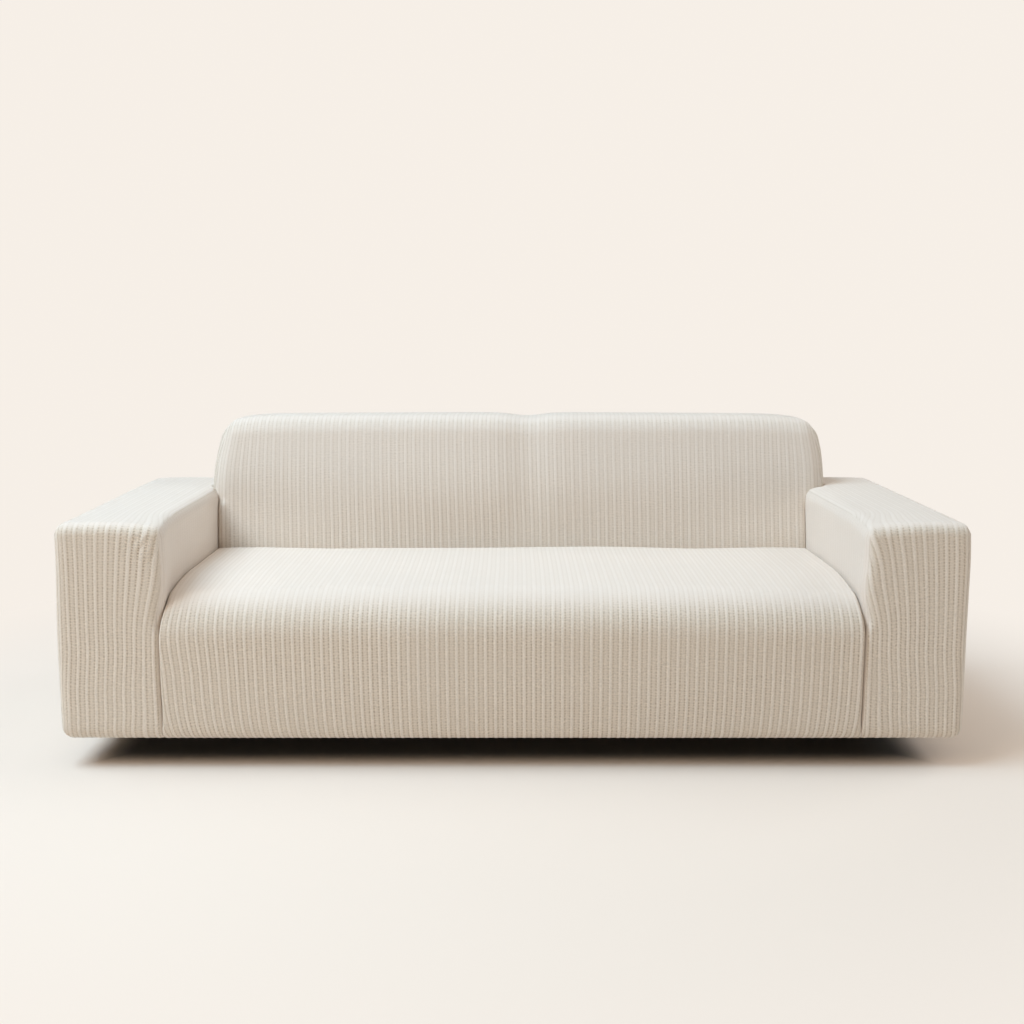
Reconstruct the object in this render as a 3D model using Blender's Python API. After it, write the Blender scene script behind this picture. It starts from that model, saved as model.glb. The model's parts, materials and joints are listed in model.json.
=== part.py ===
"""A fitted stretch cover for a three-seat sofa with square arms.

The cover is hollow and open at the bottom. Ten cut pieces of knitted cloth are sewn edge to edge:
one over the seat and down its front, one over the back, and for each arm a strip from the front
hem over the top to the rear hem, an inner side, an outer side and the end of the back above it.
Every piece is a sheet of one thickness, lofted through sections that follow the sofa under it.
+X is to the right, -Y is the front, and the hem lies on Z = 0. All sizes are in metres.
"""
import math

import bmesh
import bpy
import numpy as np

# The sofa under the cloth
LENGTH = 2.20
DEPTH = 0.90
ARM_WIDTH = 0.25
ARM_TOP = 0.534
SEAT_SIDE_TOP = 0.352
SEAT_CROWN = 0.020
BACK_TOP = 0.738
BACK_REAR_ROLL = 0.060
SEAT_DEPTH = 0.635
BACK_RAKE = 0.055
BACK_HALF_LENGTH = 0.893
BACK_SHIFT = 0.022
SEAT_FULLNESS = 2.4
SEAT_FRONT_FALL = 0.006

# Round edges
ROLL = 0.030
BACK_ROLL = 0.060
BACK_FOOT_ROLL = 0.120
BACK_CRACK_ROLL = 0.010
SEAT_FRONT_ROLL = 0.065
SEAT_MIDDLE_ROLL = 0.105
SEAT_REAR_ROLL = 0.030
SEAT_SIDE_ROLL = 0.020
SEAT_REAR_SIDE_ROLL = 0.012
GROOVE_ROLL = 0.009
HEM_GROOVE_ROLL = 0.004
VALLEY_ROLL = 0.008

# The cloth and its seams
CLOTH = 0.002
SEAM_GAP = 0.0004
MITRE_GAP = 0.0015
VALLEY_GAP = 0.0026
TUCK = 0.010
HEM_TURN = 0.025
CRACK_DEPTH = 0.030
END_TUCK = 0.006
GROOVE_START = 0.115
GROOVE_END = 0.066
HEM_GROOVE_LOW = 0.010
HEM_GROOVE_HIGH = 0.060
SEAM_ANGLE = math.radians(45)
LEAST_ANGLE = 0.03
LEAST_TUCK = 0.0004

# How the worn sofa has settled
BULGE_HALF_WIDTH = 0.84
BULGE_DEPTH = 0.014
BULGE_LIFT = 0.004
VALLEY_ACROSS = 0.045
VALLEY_WIDTH = 0.070
VALLEY_DEPTH = 0.008
VALLEY_DIP = 0.007
ARM_CROWN = 0.004
ARM_WAVE = 0.003
CORNER_REACH = (0.08, 0.12, 0.07)
CORNER_PULL_RIGHT = 0.016
CORNER_PULL_LEFT = -0.006
CORNER_SAG_RIGHT = 0.010
CORNER_SAG_LEFT = 0.005
SEAT_SWELL = 0.006
SWAY = 0.002
SWAY_ALONG = 5.0
SWAY_ACROSS = 4.0
SWAY_UP = 6.0

# Steps of the lofts
ARC_STEPS = 3
SIDE_STEPS = 2
WIDE_STEPS = 10
ARM_STEPS = 3

CLOTH_COLOUR = (0.70, 0.63, 0.53, 1.0)
CLOTH_ROUGHNESS = 0.92

FRONT = -DEPTH / 2
REAR = DEPTH / 2
ARM_OUT = LENGTH / 2
ARM_IN = ARM_OUT - ARM_WIDTH
BACK_FACE = FRONT + SEAT_DEPTH
SEAM_TILT = SEAM_ANGLE - SEAM_GAP / 2 / ROLL
SEAM_REACH = ROLL * math.sin(SEAM_TILT)
BACK_SEAM_TILT = SEAM_ANGLE - SEAM_GAP / 2 / BACK_ROLL
BACK_SEAM_REACH = BACK_ROLL * math.sin(BACK_SEAM_TILT)
RAKE_SLOPE = BACK_RAKE / (BACK_TOP - SEAT_SIDE_TOP)


def smooth_step(value, low, high):
    """0 below low, 1 above high, and a soft S between them."""
    part = np.clip((value - low) / (high - low), 0.0, 1.0)
    return part * part * (3.0 - 2.0 * part)


def mix(first, second, share):
    return first + (second - first) * share


def round_drop(distance, radius):
    """How far a round edge has fallen at a distance past the start of its curve."""
    return radius - np.sqrt(np.maximum(radius ** 2 - distance ** 2, 0.0))


def even(steps):
    """Shares of a leg at even steps."""
    return [step / steps for step in range(1, steps + 1)]


def stops(first, last, places):
    """Shares of the leg from first to last at the given places, with its end."""
    return [(first - place) / (first - last) for place in places] + [1.0]


def route(corners, leg_shares):
    """Points and outward normals along straight legs that round corners join.

    A corner is (along, up, radius). The legs are walked up at the rear, forwards over the top
    and down at the front, and leg_shares gives the shares of each leg that get a point.
    """
    places = [np.array(corner[:2]) for corner in corners]
    runs = [end - start for start, end in zip(places, places[1:])]
    headings = [math.atan2(run[1], run[0]) for run in runs]
    points, outward = [places[0]], [headings[0] - math.pi / 2]
    here = places[0]
    for number, shares in enumerate(leg_shares):
        last_leg = number == len(leg_shares) - 1
        radius = 0.0 if last_leg else corners[number + 1][2]
        turn = 0.0 if last_leg else headings[number + 1] - headings[number]
        turn = (turn + math.pi) % (2 * math.pi) - math.pi
        unit = runs[number] / np.linalg.norm(runs[number])
        stop = places[number + 1] - unit * radius * abs(math.tan(turn / 2))
        facing = headings[number] - math.pi / 2
        for share in shares:
            points.append(mix(here, stop, share))
            outward.append(facing)
        here = stop
        if last_leg:
            break
        side = math.copysign(1.0, turn)
        centre = stop - side * radius * np.array([math.cos(facing), math.sin(facing)])
        for step in range(1, ARC_STEPS + 1):
            angle = facing + turn * step / ARC_STEPS
            here = centre + side * radius * np.array([math.cos(angle), math.sin(angle)])
            points.append(here)
            outward.append(angle)
    normals = np.array([(math.cos(angle), math.sin(angle)) for angle in outward])
    return np.array(points), normals


def edge(place, radius, angle, tuck):
    """One side edge of a swept piece: where it ends, its roll, how far it turns and its tuck."""
    angle = np.maximum(angle - np.where(tuck < LEAST_TUCK, LEAST_TUCK / radius, 0.0), LEAST_ANGLE)
    tuck = np.maximum(tuck, LEAST_TUCK)
    start = place - radius * np.sin(angle) - tuck * np.cos(angle)
    return {"start": start, "radius": radius, "angle": angle, "tuck": tuck}


def edge_columns(side_edge):
    """The columns of a side edge from its start outwards: place across, drop and tilt."""
    columns = []
    for step in range(1, SIDE_STEPS + 1):
        tilt = side_edge["angle"] * step / SIDE_STEPS
        across = side_edge["start"] + side_edge["radius"] * np.sin(tilt)
        columns.append((across, side_edge["radius"] * (1 - np.cos(tilt)), tilt))
    across, drop, tilt = columns[-1]
    across = across + side_edge["tuck"] * np.cos(tilt)
    columns.append((across, drop + side_edge["tuck"] * np.sin(tilt), tilt))
    return columns


def sweep(profile_at, flat_steps, left, right):
    """Carry a profile in the YZ plane along X, with both side edges rolled inwards.

    left and right are edges measured outwards from the middle, so left is mirrored here.
    """
    columns = [(-across, drop, -tilt) for across, drop, tilt in reversed(edge_columns(left))]
    for step in range(flat_steps + 1):
        across = mix(-left["start"], right["start"], step / flat_steps)
        columns.append((across, 0.0 * across, 0.0 * across))
    columns += edge_columns(right)
    places, normals = [], []
    for across, drop, tilt in columns:
        points, outward = profile_at(float(np.median(across)))
        places.append(np.column_stack([across, points - drop[:, None] * outward]))
        normals.append(np.column_stack([np.sin(tilt), np.cos(tilt)[:, None] * outward]))
    return np.stack(places, axis=1), np.stack(normals, axis=1)


def settle(place):
    """How the worn sofa moves the cloth off the plain shape: a soft push at each place."""
    across, along, up = place[..., 0], place[..., 1], place[..., 2]
    from_middle = np.abs(across)
    push = np.zeros_like(place)
    # Two soft back cushions with a shallow valley between them
    middle = np.clip(1 - (across / BULGE_HALF_WIDTH) ** 2, 0.0, 1.0) ** 1.5
    valley = np.exp(-((across - VALLEY_ACROSS) / VALLEY_WIDTH) ** 2)
    on_face = smooth_step(up, SEAT_SIDE_TOP + 0.02, ARM_TOP)
    on_face = on_face * (1 - smooth_step(along, BACK_FACE + 0.055, BACK_FACE + 0.175))
    push[..., 1] -= on_face * (BULGE_DEPTH * middle - VALLEY_DEPTH * valley)
    on_top = smooth_step(up, BACK_TOP - 0.14, BACK_TOP - 0.02)
    push[..., 2] += on_top * (BULGE_LIFT * middle - VALLEY_DIP * valley)
    # Padded arm tops, a little higher towards the back
    over_arm = smooth_step(up, ARM_TOP - 0.10, ARM_TOP - 0.02)
    over_arm = over_arm * (1 - smooth_step(up, ARM_TOP + 0.002, ARM_TOP + 0.042))
    over_arm = over_arm * smooth_step(from_middle, ARM_IN, ARM_IN + 0.06)
    crown = np.cos((from_middle - ARM_IN - ARM_WIDTH / 2) * 2.8 / ARM_WIDTH)
    push[..., 2] += over_arm * (ARM_CROWN * crown + ARM_WAVE * np.sin(along * 4.0))
    # The inner front corners of the arms are pulled round, the right one more than the left
    away = ((from_middle - ARM_IN) / CORNER_REACH[0]) ** 2
    away = away + ((along - FRONT) / CORNER_REACH[1]) ** 2
    corner = np.exp(-away - ((up - ARM_TOP) / CORNER_REACH[2]) ** 2)
    push[..., 0] += corner * np.where(across > 0, CORNER_PULL_RIGHT, CORNER_PULL_LEFT)
    push[..., 2] -= corner * np.where(across > 0, CORNER_SAG_RIGHT, CORNER_SAG_LEFT)
    # The seat front swells between the arms
    front = 1 - smooth_step(along, FRONT + 0.05, FRONT + 0.30)
    front = front * smooth_step(up, 0.01, 0.12)
    front = front * (1 - smooth_step(up, SEAT_SIDE_TOP - 0.06, SEAT_SIDE_TOP + 0.03))
    push[..., 1] -= SEAT_SWELL * front * middle
    # Nothing on a worn sofa is quite straight
    sway = SWAY * smooth_step(up, 0.0, 0.40)
    push[..., 0] += sway * np.sin(along * SWAY_ALONG + up * SWAY_UP)
    push[..., 1] += sway * np.sin(across * SWAY_ACROSS + up * SWAY_UP)
    return push


def hem_states(points, outward):
    """For each row of a profile, the cosine of its turn under the hem and its flat turn-in."""
    under = (outward[:, 1] < 0) & (points[:, 1] < ROLL)
    turn = np.where(under, -outward[:, 1], 0.0)
    inward = np.where(turn > 0.999, DEPTH / 2 - ROLL - np.abs(points[:, 0]), 0.0)
    return np.sqrt(np.maximum(1 - turn ** 2, 0.0)), np.maximum(inward, 0.0)


def mitred_edge(points, outward):
    """An arm's outer edge: half-way round the corner, closing to a mitre under the hem."""
    cosine, inward = hem_states(points, outward)
    angle = np.maximum(np.arctan(cosine) - SEAM_GAP / 2 / ROLL, LEAST_ANGLE)
    slack = mix(MITRE_GAP, 0.0, cosine)
    place = ARM_OUT - ROLL + ROLL * np.sin(angle) - inward - slack
    return edge(place, np.full(len(points), ROLL), angle, np.zeros(len(points)))


def seat_profile(across):
    """Rear crack, seat, front edge and front drop, fuller in the middle than at the sides."""
    fullness = 1 - (abs(across) / ARM_IN) ** SEAT_FULLNESS
    top = SEAT_SIDE_TOP + SEAT_CROWN * fullness
    front_roll = mix(SEAT_FRONT_ROLL, SEAT_MIDDLE_ROLL, fullness)
    rear = BACK_FACE - SEAM_GAP / 2
    corners = [
        (rear, SEAT_SIDE_TOP - CRACK_DEPTH - TUCK, 0.0),
        (rear, top, SEAT_REAR_ROLL),
        (FRONT, top - SEAT_FRONT_FALL * fullness, front_roll),
        (FRONT, 0.0, ROLL),
        (FRONT + ROLL + HEM_TURN, 0.0, 0.0),
    ]
    return route(corners, (even(1), even(6), even(4), even(1)))


def back_profile(across):
    """Rear hem, outside back, top, raked inside back and the crack behind the seat."""
    face = BACK_FACE + SEAM_GAP / 2
    corners = [
        (REAR - ROLL - HEM_TURN, 0.0, 0.0),
        (REAR, 0.0, ROLL),
        (REAR, BACK_TOP, BACK_REAR_ROLL),
        (face + BACK_RAKE, BACK_TOP, BACK_ROLL),
        (face, SEAT_SIDE_TOP - 0.01, BACK_FOOT_ROLL),
        (face, SEAT_SIDE_TOP - CRACK_DEPTH - TUCK, 0.0),
    ]
    arm_round = [ARM_TOP - ROLL * (1 - share) for share in (0.0, 0.5, 0.866, 1.0)]
    rear_leg = stops(ROLL, BACK_TOP - BACK_ROLL, [0.15, 0.27, 0.39] + arm_round)
    face_high = BACK_TOP - BACK_ROLL * 1.1
    over_arm = [ARM_TOP + 0.030, ARM_TOP + 0.012] + arm_round[::-1]
    face_leg = stops(face_high, SEAT_SIDE_TOP - 0.01, over_arm + [0.42])
    return route(corners, (even(1), rear_leg, even(1), face_leg, even(1)))


def side_row(share):
    """A height between the straight part of an arm's upright edges, shared by its pieces."""
    return mix(ROLL, ARM_TOP - ROLL, share)


def arm_profile(across):
    """Rear hem, rear, arm top, arm front and front hem."""
    corners = [
        (REAR - ROLL - HEM_TURN, 0.0, 0.0),
        (REAR, 0.0, ROLL),
        (REAR, ARM_TOP, ROLL),
        (FRONT, ARM_TOP, ROLL),
        (FRONT, 0.0, ROLL),
        (FRONT + ROLL + HEM_TURN, 0.0, 0.0),
    ]
    face = face_place(ARM_TOP)
    round_end = [face + BACK_ROLL * share for share in (1.4, 1.0, 0.66, 0.36, 0.13, 0.03)]
    rear_end = [REAR - BACK_ROLL * 0.75, REAR - BACK_ROLL]
    ahead = [mix(face, FRONT + ROLL, share) for share in (0.24, 0.46, 0.68, 0.86)]
    top_leg = stops(REAR - ROLL, FRONT + ROLL, rear_end + round_end + ahead)
    beside_seat = [SEAT_SIDE_TOP - mix(GROOVE_END, GROOVE_START, share / 3) for share in range(4)]
    low_rows = [side_row(0.25), HEM_GROOVE_HIGH]
    front_leg = stops(ARM_TOP - ROLL, ROLL, [side_row(0.75)] + beside_seat + low_rows)
    return route(corners, (even(1), even(4), top_leg, front_leg, even(1)))


def face_place(up):
    """How far back the raked inside back lies at a height."""
    return BACK_FACE + RAKE_SLOPE * np.maximum(up - SEAT_SIDE_TOP, 0.0)


def seat_piece():
    """Seat and front drop: its sides dive into the crack beside each arm."""
    points, outward = seat_profile(ARM_IN)
    along, up = points[:, 0], points[:, 1]
    at_rear = smooth_step(along, BACK_FACE - 0.12, BACK_FACE)
    radius = mix(SEAT_SIDE_ROLL, SEAT_REAR_SIDE_ROLL, at_rear)
    radius = mix(GROOVE_ROLL, radius, smooth_step(up, SEAT_SIDE_TOP - 0.06, SEAT_SIDE_TOP))
    radius = mix(HEM_GROOVE_ROLL, radius, smooth_step(up, HEM_GROOVE_LOW, HEM_GROOVE_HIGH))
    rows = np.ones(len(points))
    side = edge((ARM_IN - SEAM_GAP) * rows, radius, SEAM_ANGLE * 2 * rows, TUCK * rows)
    return sweep(seat_profile, WIDE_STEPS, side, side)


def back_edge(points, outward, shift):
    """One end of the back piece, moved outwards by the shift of the sofa's back."""
    along, up = points[:, 0], points[:, 1]
    end = BACK_HALF_LENGTH + shift - BACK_ROLL + BACK_SEAM_REACH
    # At the rear the edge is flat below the arm top and rolls away above it
    rise = np.clip(up - (ARM_TOP - ROLL), 0.0, ROLL)
    rear_drop = np.where(up > ARM_TOP, ROLL, round_drop(rise, ROLL))
    rear_angle = np.arccos(np.clip(1 - rear_drop / BACK_ROLL, math.cos(BACK_SEAM_TILT), 1.0))
    # At the front the edge runs into the crack beside the arm, and widens over the arm top
    inside = along < (BACK_FACE + REAR) / 2
    above = np.where(inside, smooth_step(up, ARM_TOP - ROLL, ARM_TOP - 0.005), 1.0)
    arm_side = ARM_IN + round_drop(rise, ROLL) - SEAM_GAP
    place = np.where(inside & (up < ARM_TOP), np.minimum(arm_side, end), end)
    place = place - np.where(inside, BACK_CRACK_ROLL * 1.2 * above * (1 - above), 0.0)
    angle = np.where(inside, mix(SEAM_ANGLE * 2, BACK_SEAM_TILT, above), rear_angle)
    return edge(place, mix(BACK_CRACK_ROLL, BACK_ROLL, above), angle, mix(TUCK, 0.0, above))


def back_piece():
    """Outside back, top and inside back: wider above the arms than between them."""
    points, outward = back_profile(0.0)
    left = back_edge(points, outward, -BACK_SHIFT)
    right = back_edge(points, outward, BACK_SHIFT)
    return sweep(back_profile, WIDE_STEPS, left, right)


def arm_strip(shift):
    """Right arm strip from rear hem over the top to front hem, with its two unlike edges."""
    points, outward = arm_profile(0.0)
    along, up = points[:, 0], points[:, 1]
    rows = np.ones(len(points))
    outer = mitred_edge(points, outward)
    end = BACK_HALF_LENGTH + shift
    centre = end - BACK_ROLL
    on_top = up > ARM_TOP - ROLL * 0.1
    # Front: a groove beside the seat, then half-way round the arm's inner front edge
    above_seat = smooth_step(up, SEAT_SIDE_TOP - GROOVE_START, SEAT_SIDE_TOP - GROOVE_END)
    above_hem = smooth_step(up, HEM_GROOVE_LOW, HEM_GROOVE_HIGH)
    radius = mix(mix(HEM_GROOVE_ROLL, GROOVE_ROLL, above_hem), ROLL, above_seat)
    angle = mix(SEAM_ANGLE * 2, SEAM_TILT, above_seat)
    tuck = mix(TUCK, 0.0, above_seat)
    half_way = ARM_IN + ROLL - SEAM_REACH
    place = mix(ARM_IN, half_way, above_seat)
    # Top: round the front corner of the back, along its end and round its rear corner
    face = face_place(ARM_TOP)
    ahead = np.clip(face + BACK_ROLL - along, 0.0, BACK_ROLL)
    behind = np.clip(along - (REAR - BACK_ROLL), 0.0, BACK_SEAM_REACH)
    plan = centre + np.sqrt(np.maximum(BACK_ROLL ** 2 - np.maximum(ahead, behind) ** 2, 0.0))
    beside_back = smooth_step(along, face + 0.002, face + 0.024) * on_top
    beside_back = beside_back * (1 - 0.6 * smooth_step(along, REAR - 0.06, REAR - 0.03))
    radius = mix(radius, VALLEY_ROLL, beside_back)
    angle = mix(angle, SEAM_ANGLE * 2, beside_back)
    tuck = mix(tuck, TUCK, beside_back)
    place = np.where(along > face, np.maximum(place, plan + SEAM_GAP + VALLEY_GAP * on_top), place)
    # Rear: a flat seam beside the outside back
    rear = (along > REAR - ROLL * 1.01) & ~on_top
    seam = centre + BACK_SEAM_REACH + SEAM_GAP
    place = np.where(rear, seam, place)
    angle = np.where(rear, 0.0, angle)
    tuck = np.where(rear, 0.0, tuck)
    inner = edge(-place, radius, angle, tuck)
    return sweep(arm_profile, ARM_STEPS, inner, outer)


def lean_from(outline, spots):
    """From the outline of a side's flat part to each spot beyond it, and zero inside it."""
    beyond = np.full(spots.shape[:-1], -np.inf)
    nearest = np.full(spots.shape[:-1], np.inf)
    lean = np.zeros_like(spots)
    for start, end in zip(outline, outline[1:]):
        run = end - start
        normal = np.array([-run[1], run[0]]) / np.linalg.norm(run)
        beyond = np.maximum(beyond, (spots - start) @ normal)
        share = np.clip((spots - start) @ run / (run @ run), 0.0, 1.0)
        away = spots - start - share[..., None] * run
        distance = np.linalg.norm(away, axis=-1)
        lean = np.where((distance < nearest)[..., None], away, lean)
        nearest = np.minimum(nearest, distance)
    return np.where((beyond > 0)[..., None], lean, 0.0)


def side_patch(tops, bottoms, rows, plane, facing, outline, roll):
    """An upright side between top and bottom points (along, up), rolled near its round edges.

    outline bounds the flat part: up at the front, rearwards and down again.
    """
    share = np.linspace(0.0, 1.0, rows + 1)[:, None, None]
    spots = mix(bottoms[None], tops[None], share)
    lean = lean_from(outline, spots)
    distance = np.linalg.norm(lean, axis=-1)
    across = plane - facing * round_drop(distance, roll)
    places = np.concatenate([across[..., None], spots], axis=-1)
    flat_share = np.sqrt(np.maximum(roll ** 2 - distance ** 2, 0.0))[..., None]
    normals = np.concatenate([facing * flat_share, lean], axis=-1) / roll
    return places, normals


def corner_points(centre, reach, first, last):
    """Points round a corner of a seam, at the same angles as the piece that meets it."""
    angles = first + (last - first) * np.arange(ARC_STEPS + 1) / ARC_STEPS
    return np.array([centre + reach * np.array([math.cos(a), math.sin(a)]) for a in angles])


def inner_side():
    """Inner side of the right arm, from the crack beside the seat up to the strip's seam."""
    reach = SEAM_REACH
    corner = np.array([FRONT + ROLL, ARM_TOP - ROLL])
    curve = corner_points(corner, reach, math.pi, math.pi / 2)
    rear_top = face_place(ARM_TOP - ROLL) + 0.004
    straight = np.linspace(corner[0], rear_top, 9)[1:]
    tops = np.vstack([curve, np.column_stack([straight, np.full(8, corner[1] + reach)])])
    rear_bottom = BACK_FACE + TUCK
    share = (tops[:, 0] - tops[0, 0]) / (tops[-1, 0] - tops[0, 0])
    along = mix(tops[0, 0], rear_bottom, share)
    fall = np.clip(FRONT + SEAT_FRONT_ROLL - along, 0.0, SEAT_FRONT_ROLL)
    low = SEAT_SIDE_TOP - CRACK_DEPTH - round_drop(fall, SEAT_FRONT_ROLL)
    outline = [corner * (1, 0), corner, np.array([REAR, corner[1]])]
    plane = ARM_IN
    return side_patch(tops, np.column_stack([along, low]), 5, plane, -1.0, outline, ROLL)


def outer_side():
    """Outer side of the right arm, with its hem turned under and mitred at both corners."""
    reach = SEAM_REACH
    front = np.array([FRONT + ROLL, ARM_TOP - ROLL])
    rear = np.array([REAR - ROLL, ARM_TOP - ROLL])
    straight = np.linspace(front[0], rear[0], 9)[1:-1]
    middle = np.column_stack([straight, np.full(len(straight), front[1] + reach)])
    tops = np.vstack([corner_points(front, reach, math.pi, math.pi / 2), middle,
                      corner_points(rear, reach, math.pi / 2, 0.0)])
    bottoms = np.column_stack([tops[:, 0], np.full(len(tops), ROLL)])
    outline = [front * (1, 0), front, rear, rear * (1, 0)]
    places, normals = side_patch(tops, bottoms, 4, ARM_OUT, 1.0, outline, ROLL)
    past = tops[:, 0] - np.clip(tops[:, 0], front[0], rear[0])
    held = np.clip(tops[:, 0], front[0], rear[0])
    lean = np.arcsin(past / ROLL) / SEAM_TILT
    hem_places, hem_normals = [], []
    for step in range(1, ARC_STEPS + 2):
        turn = math.radians(90) * min(step / ARC_STEPS, 1.0)
        inward = HEM_TURN if step > ARC_STEPS else 0.0
        cosine = math.cos(turn)
        slack = mix(MITRE_GAP, 0.0, cosine) + inward
        angle = lean * max(math.atan(cosine) - SEAM_GAP / 2 / ROLL, LEAST_ANGLE)
        along = held + ROLL * np.sin(angle) - slack * held / abs(front[0])
        across = ARM_OUT - ROLL + ROLL * np.cos(angle) * cosine - inward
        up = ROLL - ROLL * np.cos(angle) * math.sin(turn)
        hem_places.append(np.column_stack([across, along, up]))
        hem_normals.append(np.column_stack([np.cos(angle) * cosine, np.sin(angle),
                                            -np.cos(angle) * math.sin(turn)]))
    places = np.concatenate([np.array(hem_places)[::-1], places])
    return places, np.concatenate([np.array(hem_normals)[::-1], normals])


def back_end(shift):
    """Right end of the back above the arm, down into the crack against the arm top."""
    reach = BACK_SEAM_REACH
    rake = math.atan(BACK_RAKE / (BACK_TOP - SEAT_SIDE_TOP + 0.01))
    facing = np.array([-math.cos(rake), math.sin(rake)])
    points, outward = back_profile(0.0)
    front_corner = next(place - BACK_ROLL * out for place, out in zip(points, outward)
                        if np.allclose(out, facing, atol=0.002) and place[1] > ARM_TOP)
    rear_corner = np.array([REAR - BACK_ROLL, BACK_TOP - BACK_ROLL])
    straight = np.linspace(front_corner[0], rear_corner[0], 4)[1:-1]
    middle = np.column_stack([straight, np.full(len(straight), rear_corner[1] + reach)])
    tops = np.vstack([corner_points(front_corner, reach, math.pi - rake, math.pi / 2), middle,
                      corner_points(rear_corner, reach, math.pi / 2, 0.0)])
    low = ARM_TOP - END_TUCK
    slope = facing[1] / -facing[0]
    front_low = tops[0, 0] - slope * (tops[0, 1] - low)
    share = (tops[:, 0] - tops[0, 0]) / (tops[-1, 0] - tops[0, 0])
    along = mix(front_low, tops[-1, 0], share)
    bottoms = np.column_stack([along, np.full(len(tops), low)])
    front_foot = front_corner - BACK_TOP * np.array([facing[1], -facing[0]])
    outline = [front_foot, front_corner, rear_corner, rear_corner * (1, 0)]
    plane = BACK_HALF_LENGTH + shift
    return side_patch(tops, bottoms, 4, plane, 1.0, outline, BACK_ROLL)


def mirrored(places, normals):
    flip = np.array([-1.0, 1.0, 1.0])
    return places * flip, normals * flip


def cloth_sheet(name, places, normals, material, collection):
    """Close the sheet between its outer face and the same face one thickness further in."""
    outer = places + settle(places)
    inner = outer - CLOTH * normals
    rows, columns = outer.shape[:2]
    mesh = bpy.data.meshes.new(name)
    work = bmesh.new()
    grids = [[[work.verts.new(spot) for spot in row] for row in grid] for grid in (outer, inner)]
    for row in range(rows - 1):
        for column in range(columns - 1):
            for grid in grids:
                work.faces.new((grid[row][column], grid[row][column + 1],
                                grid[row + 1][column + 1], grid[row + 1][column]))
    rim = [(0, column) for column in range(columns - 1)]
    rim += [(row, columns - 1) for row in range(rows - 1)]
    rim += [(rows - 1, column) for column in range(columns - 1, 0, -1)]
    rim += [(row, 0) for row in range(rows - 1, 0, -1)]
    for here, there in zip(rim, rim[1:] + rim[:1]):
        work.faces.new((grids[0][here[0]][here[1]], grids[0][there[0]][there[1]],
                        grids[1][there[0]][there[1]], grids[1][here[0]][here[1]]))
    bmesh.ops.recalc_face_normals(work, faces=work.faces)
    bmesh.ops.triangulate(work, faces=work.faces)
    work.to_mesh(mesh)
    work.free()
    mesh.shade_smooth()
    mesh.set_sharp_from_angle(angle=math.radians(50))
    mesh.materials.append(material)
    piece = bpy.data.objects.new(name, mesh)
    collection.objects.link(piece)
    return piece


def knit_material(name):
    material = bpy.data.materials.new(name)
    material.use_nodes = True
    shader = material.node_tree.nodes["Principled BSDF"]
    shader.inputs["Base Color"].default_value = CLOTH_COLOUR
    shader.inputs["Roughness"].default_value = CLOTH_ROUGHNESS
    shader.inputs["Metallic"].default_value = 0.0
    return material


def main():
    for existing in list(bpy.data.objects):
        bpy.data.objects.remove(existing, do_unlink=True)
    collection = bpy.data.collections.new("sofa_slipcover")
    bpy.context.scene.collection.children.link(collection)
    pieces = {
        "seat_panel": seat_piece(),
        "back_panel": back_piece(),
        "arm_strip_right": arm_strip(BACK_SHIFT),
        "arm_strip_left": mirrored(*arm_strip(-BACK_SHIFT)),
        "arm_inner_right": inner_side(),
        "arm_inner_left": mirrored(*inner_side()),
        "arm_outer_right": outer_side(),
        "arm_outer_left": mirrored(*outer_side()),
        "back_end_right": back_end(BACK_SHIFT),
        "back_end_left": mirrored(*back_end(-BACK_SHIFT)),
    }
    for name, (places, normals) in pieces.items():
        cloth_sheet(name, places, normals, knit_material(name + "_knit"), collection)


main()
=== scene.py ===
# %% [markdown]
# # A fitted ribbed slipcover for a long sofa
# The cover is one shell of stretch knit, drawn over a three-seat sofa with square arms. It is sewn
# from ten cut pieces, and the sofa inside it is left out. Here each cut piece is laid out as a flat
# grid of cloth, moved onto the form of the sofa, given its ribs in real relief and then its
# thickness. The finish adds the stitches, which are too small to model.

import json
import math

import bpy
import numpy as np
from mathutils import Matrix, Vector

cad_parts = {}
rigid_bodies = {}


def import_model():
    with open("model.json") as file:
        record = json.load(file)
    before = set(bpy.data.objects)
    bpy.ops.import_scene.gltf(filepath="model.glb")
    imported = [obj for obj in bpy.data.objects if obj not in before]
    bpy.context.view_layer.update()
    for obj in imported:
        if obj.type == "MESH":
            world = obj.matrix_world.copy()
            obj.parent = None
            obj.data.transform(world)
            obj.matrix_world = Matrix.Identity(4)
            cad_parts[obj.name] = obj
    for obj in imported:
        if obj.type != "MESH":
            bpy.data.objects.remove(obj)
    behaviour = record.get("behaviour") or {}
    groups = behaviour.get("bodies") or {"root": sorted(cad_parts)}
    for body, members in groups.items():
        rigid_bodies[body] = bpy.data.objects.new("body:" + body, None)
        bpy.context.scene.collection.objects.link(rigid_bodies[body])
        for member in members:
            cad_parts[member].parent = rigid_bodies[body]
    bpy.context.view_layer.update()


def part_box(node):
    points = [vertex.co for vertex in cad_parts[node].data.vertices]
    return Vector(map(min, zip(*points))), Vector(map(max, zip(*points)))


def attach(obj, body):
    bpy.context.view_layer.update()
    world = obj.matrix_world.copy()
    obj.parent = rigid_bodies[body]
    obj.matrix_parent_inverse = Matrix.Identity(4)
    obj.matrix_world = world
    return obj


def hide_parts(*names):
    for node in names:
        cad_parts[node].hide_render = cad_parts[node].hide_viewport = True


for existing in list(bpy.data.objects):
    bpy.data.objects.remove(existing, do_unlink=True)
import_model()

# %% [markdown]
# ## The sofa under the cloth
# A slipcover has no shape of its own: it takes the sofa's. The main sizes of the sofa are read
# from the boxes of the cut pieces, so the cloth lies where the frame has it. The frame's cloth
# sags and sways by a few millimetres, which are taken off again here to find the plain sizes.

# %% Sizes of the sofa
SWAY = 0.002
ARM_CROWN = 0.004
ARM_WAVE = 0.003
SEAT_CROWN = 0.020
BULGE_LIFT = 0.004

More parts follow.
